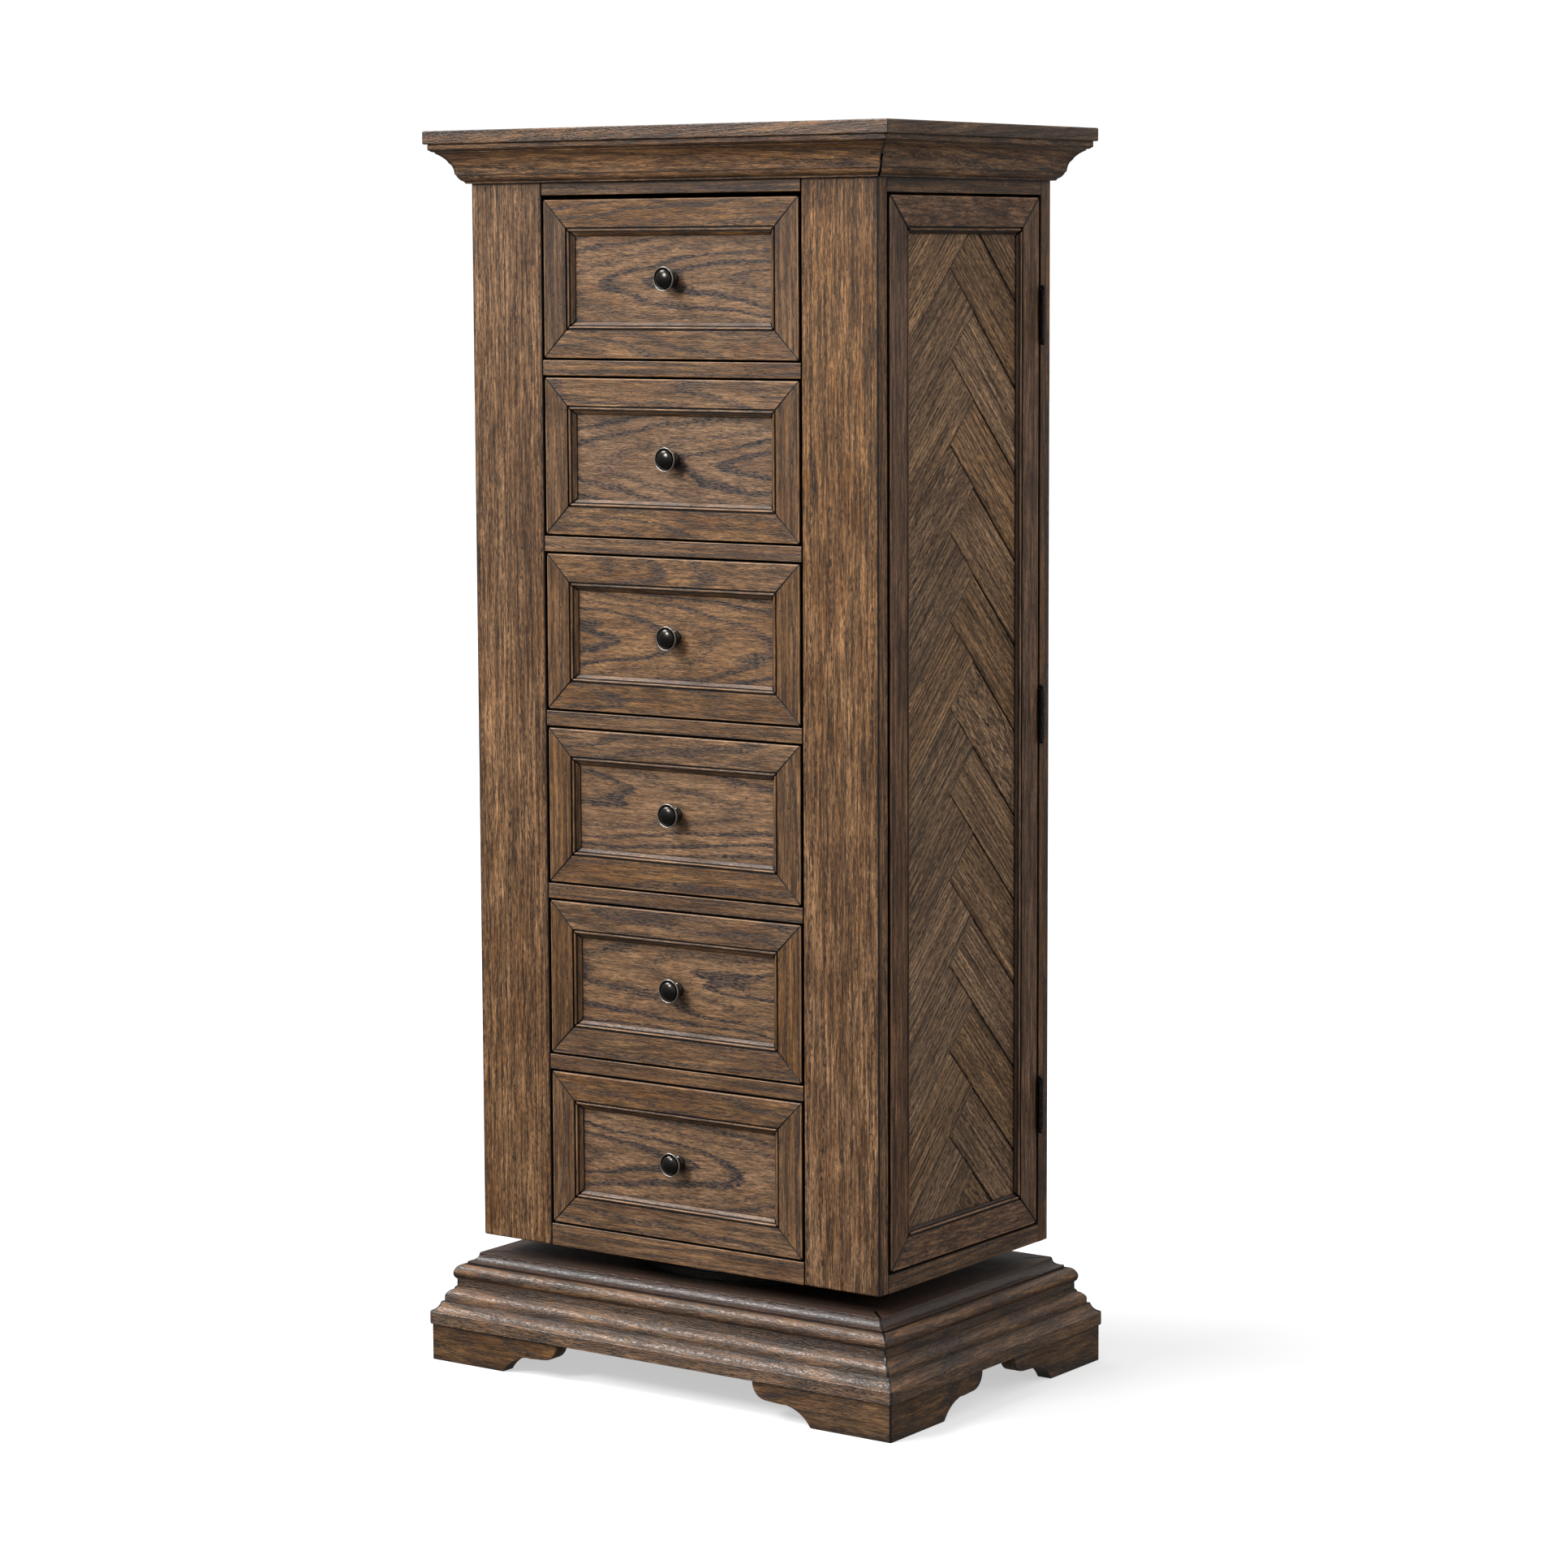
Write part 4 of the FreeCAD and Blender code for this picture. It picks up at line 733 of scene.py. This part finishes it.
def make_box(body):
    low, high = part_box(f"{body}_box")
    side, back, bottom, lift = 12 * MM, 10 * MM, 5 * MM, 6 * MM
    bm = new_mesh()
    for sign in (-1, 1):
        xs = sorted((sign * (high.x - side), sign * high.x))
        slab(bm, (xs[0], low.y, low.z), (xs[1], high.y, high.z), Cut(Y, X), ease=1.2 * MM, segments=3)
    inner = high.x - side
    for near in (low.y, high.y - back):
        slab(bm, (-inner, near, low.z), (inner, near + back, high.z), Cut(X, Y), ease=1.2 * MM, segments=3)
    slab(bm, (-inner, low.y + back, low.z + lift), (inner, high.y - back, low.z + lift + bottom),
         Cut(X, Z), ease=0)
    finish_piece(obj(f"{body}_box_wood", bm, INSIDE), body, "interior_wood", f"{body}_box")


def make_knob(body, z):
    """A waisted stem with a cup, a rubbed ring and a dome, turned from outlines of (radius, outwards)."""
    low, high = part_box(f"{body}_knob")
    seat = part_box(f"{body}_front_panel")[0].y
    r, n = (high.x - low.x) / 2, seat - low.y       # the ring's radius, and how far the dome stands out
    centre = Vector((0, seat, z))
    cup = [(8 * MM, 0), (8.2 * MM, 0.8 * MM), (8 * MM, 1.6 * MM), (7.1 * MM, 2.1 * MM),
           (6.3 * MM, 2.9 * MM), (5.6 * MM, 4.2 * MM), (5.5 * MM, 6 * MM), (6.2 * MM, 8 * MM),
           (7.8 * MM, 10 * MM), (r - 3.2 * MM, n - 8.0 * MM), (r - 1.2 * MM, n - 6.4 * MM)]
    rim = [(r - 1.2 * MM, n - 6.4 * MM), (r - 0.35 * MM, n - 5.8 * MM), (r, n - 5.0 * MM),
           (r - 0.15 * MM, n - 4.1 * MM), (r - 0.5 * MM, n - 3.6 * MM), (r - 0.9 * MM, n - 3.5 * MM),
           (r - 1.4 * MM, n - 3.9 * MM), (r - 1.6 * MM, n - 5.4 * MM)]
    steps = 10
    dome_r, rise = r - 2.9 * MM, 4.6 * MM
    dome = [(r - 1.6 * MM, n - 5.4 * MM), (r - 2.7 * MM, n - 5.6 * MM)]
    dome += [(dome_r * math.cos(t), n - rise + rise * math.sin(t))
             for t in (math.pi / 2 * i / steps for i in range(steps))]
    dome += [(0, n)]
    for part, points, material in (("cup", cup, BRONZE), ("ring", rim, RUBBED), ("dome", dome, BRONZE)):
        bm = new_mesh()
        turned(bm, points, centre, -Y, caps=part == "cup")
        finish_piece(obj(f"{body}_knob_{part}", bm, material, 60), body, "bronze",
                     *([f"{body}_knob"] if part == "cup" else []))


# ------------------------------------------------------------------ doors
def clip(polygon, low, high):
    """Clip a convex polygon to a rectangle."""
    for axis in (0, 1):
        for limit, sign in ((low[axis], 1), (high[axis], -1)):
            kept = []
            for index, here in enumerate(polygon):
                after = polygon[(index + 1) % len(polygon)]
                a, b = sign * (here[axis] - limit), sign * (after[axis] - limit)
                if a >= 0:
                    kept.append(here)
                if a * b < 0:
                    t = a / (a - b)
                    kept.append(here + (after - here) * t)
            polygon = kept
            if not polygon:
                return []
    return polygon


def planks(bm, low, high, top, width, to_space, out, tone):
    """A herringbone of planks in a rectangle.  to_space maps (across, up) to a point on the face."""
    step = width / math.sqrt(2)
    pitch = 2 * step
    centre = (low.x + high.x) / 2
    left, right = centre - step / 2, centre + step / 2
    far = (high.x - low.x) * 1.5
    down_right, down_left = Vector((1, -1)), Vector((-1, -1))
    count = int((high.y - low.y) / pitch) + 6
    for k in range(-3, count):
        z = top - k * pitch
        pieces = ((Vector((left, z - pitch)), Vector((right, z - step)), down_right),
                  (Vector((left, z)), Vector((right, z - step)), down_left))
        for start, end, run in pieces:
            shape = clip([start, end, end + run * far, start + run * far], low, high)
            if len(shape) < 3:
                continue
            groove = WIDE_GROOVE if run is down_right else FINE_GROOVE
            plank(bm, shape, run.normalized(), to_space, out, tone, groove)


def plank(bm, shape, run, to_space, out, tone, groove):
    """One plank: a flat prism with a chamfered face."""
    crack, chamfer = groove[0] * MM, groove[1] * MM
    centre = sum(shape, Vector((0, 0))) / len(shape)
    area = sum(a.x * b.y - b.x * a.y for a, b in zip(shape, shape[1:] + shape[:1])) / 2
    if area < 0:
        shape = shape[::-1]

    def inset(amount):
        """Move every edge inwards by an amount and meet the neighbours again."""
        result = []
        count = len(shape)
        for i in range(count):
            a, b, c = shape[i - 1], shape[i], shape[(i + 1) % count]
            e1, e2 = (b - a).normalized(), (c - b).normalized()
            n1, n2 = Vector((-e1.y, e1.x)), Vector((-e2.y, e2.x))
            lean = 1 + n1.dot(n2)
            result.append(b + (n1 + n2) * (amount / max(lean, 0.3)))
        return result

    face, edge = inset(crack + chamfer), inset(crack)
    lift = draw.uniform(-0.12, 0.0) * MM
    rings = [[bm.verts.new(to_space(p) + out * depth) for p in ring]
             for ring, depth in ((face, lift), (edge, lift - chamfer * 0.8), (edge, -PLANK_THICK))]
    verts = loft(bm, rings)
    along = (to_space(run) - to_space(Vector((0, 0)))).normalized()
    # Painted shade: the chamfer and the sides are dark, so the grooves read as shadowed lines.
    dark = set(rings[1] + rings[2])
    cut = Cut(along, out, flat=draw.random() < 0.1, tone=tone, spread=0.24)
    cut.mark(bm, verts, to_space(centre), lambda v: 0.85 if v in dark else 0.0)


def make_door(side, sign):
    """A door on the side that sign points to; its panel is planks on a ground board."""
    body = f"{side}_door"
    low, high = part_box(f"{body}_frame")
    thick = high.x - low.x
    recess, panel_thick = 6 * MM, 8 * MM
    # 0.7: painted shade on the sloping strip inside the door's recess.
    outline = panelled_outline(33 * MM, 8 * MM, recess, 5 * MM, thick, panel_thick, 0.7)
    face_x = high.x if sign > 0 else low.x
    middle = Vector((face_x, (low.y + high.y) / 2, (low.z + high.z) / 2))
    matrix = Matrix.Translation(middle) @ turn_z(sign)
    bm = new_mesh()
    panelled_frame(bm, outline, high.y - low.y, high.z - low.z, matrix, 1.5 * MM)
    finish_piece(obj(f"{body}_frame_wood", bm, DOOR), body, "walnut", f"{body}_frame")

    low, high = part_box(f"{body}_panel")
    out = X * sign
    face = high.x if sign > 0 else low.x

    def to_space(spot):
        return Vector((face, spot[0], spot[1]))

    bm = new_mesh()
    planks(bm, Vector((low.y, low.z)), Vector((high.y, high.z)), FIRST_APEX, PLANK_WIDTH,
           to_space, out, 0.95)
    finish_piece(obj(f"{body}_planks", bm, PLANK), body, "herringbone", f"{body}_panel")
    ground = face - sign * (PLANK_THICK - 0.1 * MM)
    rear = face - sign * (high.x - low.x)
    # The ground board's face under the planks is painted dark, as shade seen down the grooves.
    bm = new_mesh()
    slab(bm, (min(ground, rear), low.y, low.z), (max(ground, rear), high.y, high.z),
         Cut(Z, X, flat=False), ease=0.2 * MM,
         stain_and_painted_light=lambda v: 1.0 if abs(v.co.x - ground) < 0.3 * MM else 0.0)
    finish_piece(obj(f"{body}_ground_wood", bm, DOOR), body, "walnut")


# ------------------------------------------------------------------ carried-over nodes
def paint_cad():
    for node, material in (("swivel_lower_race", RACE), ("swivel_upper_race", RACE),
                           ("swivel_ball_ring", STEEL), ("slide_rails", STEEL), ("mirror_glass", MIRROR),
                           ("foot_glides", NYLON), ("door_catches", CATCH), ("necklace_hooks", BLACK),
                           ("cabinet_hinge_leaves", BLACK), ("left_door_hardware", BLACK),
                           ("right_door_hardware", BLACK)):
        paint(node, material)
    for number in range(1, DRAWERS + 1):
        paint(f"drawer_{number}_runners", STEEL)


def paint(node, material):
    item = frame["nodes"][node]
    item.data.materials.clear()
    item.data.materials.append(material)


# ------------------------------------------------------------------ studio
def make_studio():
    bm = bmesh.new()
    bmesh.ops.create_grid(bm, x_segments=1, y_segments=1, size=30)
    floor = stage_piece("floor", bm)
    tree = Tree(bpy.data.materials.new("pale_floor"))
    place = tree.add("ShaderNodeTexCoord", "Object")
    mottle = tree.noise(place, (3, 3, 3), 2)
    tree.set(color=tree.mix(mottle, (0.56, 0.56, 0.56), (0.58, 0.58, 0.58)), rough=0.9, specular=0.1)
    tree.shader.inputs["Emission Color"].default_value = (1, 1, 1, 1)
    tree.shader.inputs["Emission Strength"].default_value = 0.52
    floor.data.materials.append(tree.owner)
    floor.visible_diffuse = False
    floor.visible_glossy = False

    bm = bmesh.new()
    bmesh.ops.create_uvsphere(bm, u_segments=48, v_segments=24, radius=45)
    dome = stage_piece("backdrop", bm)
    tree = Tree(bpy.data.materials.new("white_backdrop"))
    tree.nodes.remove(tree.shader)
    glow = tree.add("ShaderNodeEmission", 0, {"Color": (1, 1, 1, 1), "Strength": 1.05})
    tree.put(tree.nodes["Material Output"].inputs["Surface"], glow)
    dome.data.materials.append(tree.owner)
    for ray in ("diffuse", "glossy", "transmission", "shadow", "volume_scatter"):
        setattr(dome, f"visible_{ray}", False)

    world = bpy.data.worlds.new("studio")
    bpy.context.scene.world = world
    sky = Tree(world)
    height = sky.add("ShaderNodeSeparateXYZ", "Z", {0: sky.add("ShaderNodeTexCoord", "Generated")})
    glow = sky.ramp(sky.line(height, 0.5, 0.5),
                    [(0.3, 0.14), (0.47, 0.26), (0.58, 0.42), (0.8, 0.72), (1, 0.6)])
    sky.put(sky.nodes["Background"].inputs["Color"], glow)
    lamp("overhead", "SUN", (-0.57, -0.36, 0.76), (0, 0, 0), 2.9, angle=math.radians(28))
    lamp("key", "AREA", (-0.9, -3.3, 2.7), (0, 0, 1.1), 98, size=1.1, size_y=1.1)
    lamp("side_strip", "AREA", (2.7, 0.4, 1.7), (0, 0, 0.9), 11.5, size=0.5, size_y=1.8)


def stage_piece(name, bm):
    mesh = bpy.data.meshes.new(name)
    bm.to_mesh(mesh)
    bm.free()
    item = bpy.data.objects.new(name, mesh)
    bpy.context.scene.collection.objects.link(item)
    return item


def lamp(name, kind, at, toward, energy, **settings):
    light = bpy.data.lights.new(name, kind)
    light.energy = energy
    if kind == "AREA":
        light.shape = "RECTANGLE"
    for key, value in settings.items():
        setattr(light, key, value)
    item = bpy.data.objects.new(name, light)
    item.location = at
    item.rotation_euler = (Vector(toward) - Vector(at)).to_track_quat("-Z", "Y").to_euler()
    bpy.context.scene.collection.objects.link(item)


def make_camera():
    """The eye stands to the right and a little above the middle, and looks slightly down."""
    eye = Vector((2.8563, -3.9906, 1.2695))
    yaw, pitch, roll = (math.radians(a) for a in (35.306, 6.881, -0.241))
    ahead = Vector((-math.sin(yaw) * math.cos(pitch), math.cos(yaw) * math.cos(pitch), -math.sin(pitch)))
    across = Vector((math.cos(yaw), math.sin(yaw), 0))
    up = across.cross(ahead)
    right = across * math.cos(roll) + up * math.sin(roll)
    up = up * math.cos(roll) - across * math.sin(roll)
    data = bpy.data.cameras.new("camera")
    data.sensor_width = 36
    data.lens = 98.66
    data.clip_end = 100
    camera = bpy.data.objects.new("camera", data)
    turn = Matrix((right, up, -ahead)).transposed().to_4x4()
    camera.matrix_world = Matrix.Translation(eye) @ turn
    bpy.context.scene.collection.objects.link(camera)
    bpy.context.scene.camera = camera


make_camera()
make_studio()
make_base()
make_front_frame()
make_side_rails()
make_back()
make_top()
make_inside()
for drawer_number in range(1, DRAWERS + 1):
    make_drawer(drawer_number)
make_door("right", 1)
make_door("left", -1)
paint_cad()
bpy.context.scene.view_settings.view_transform = "Standard"
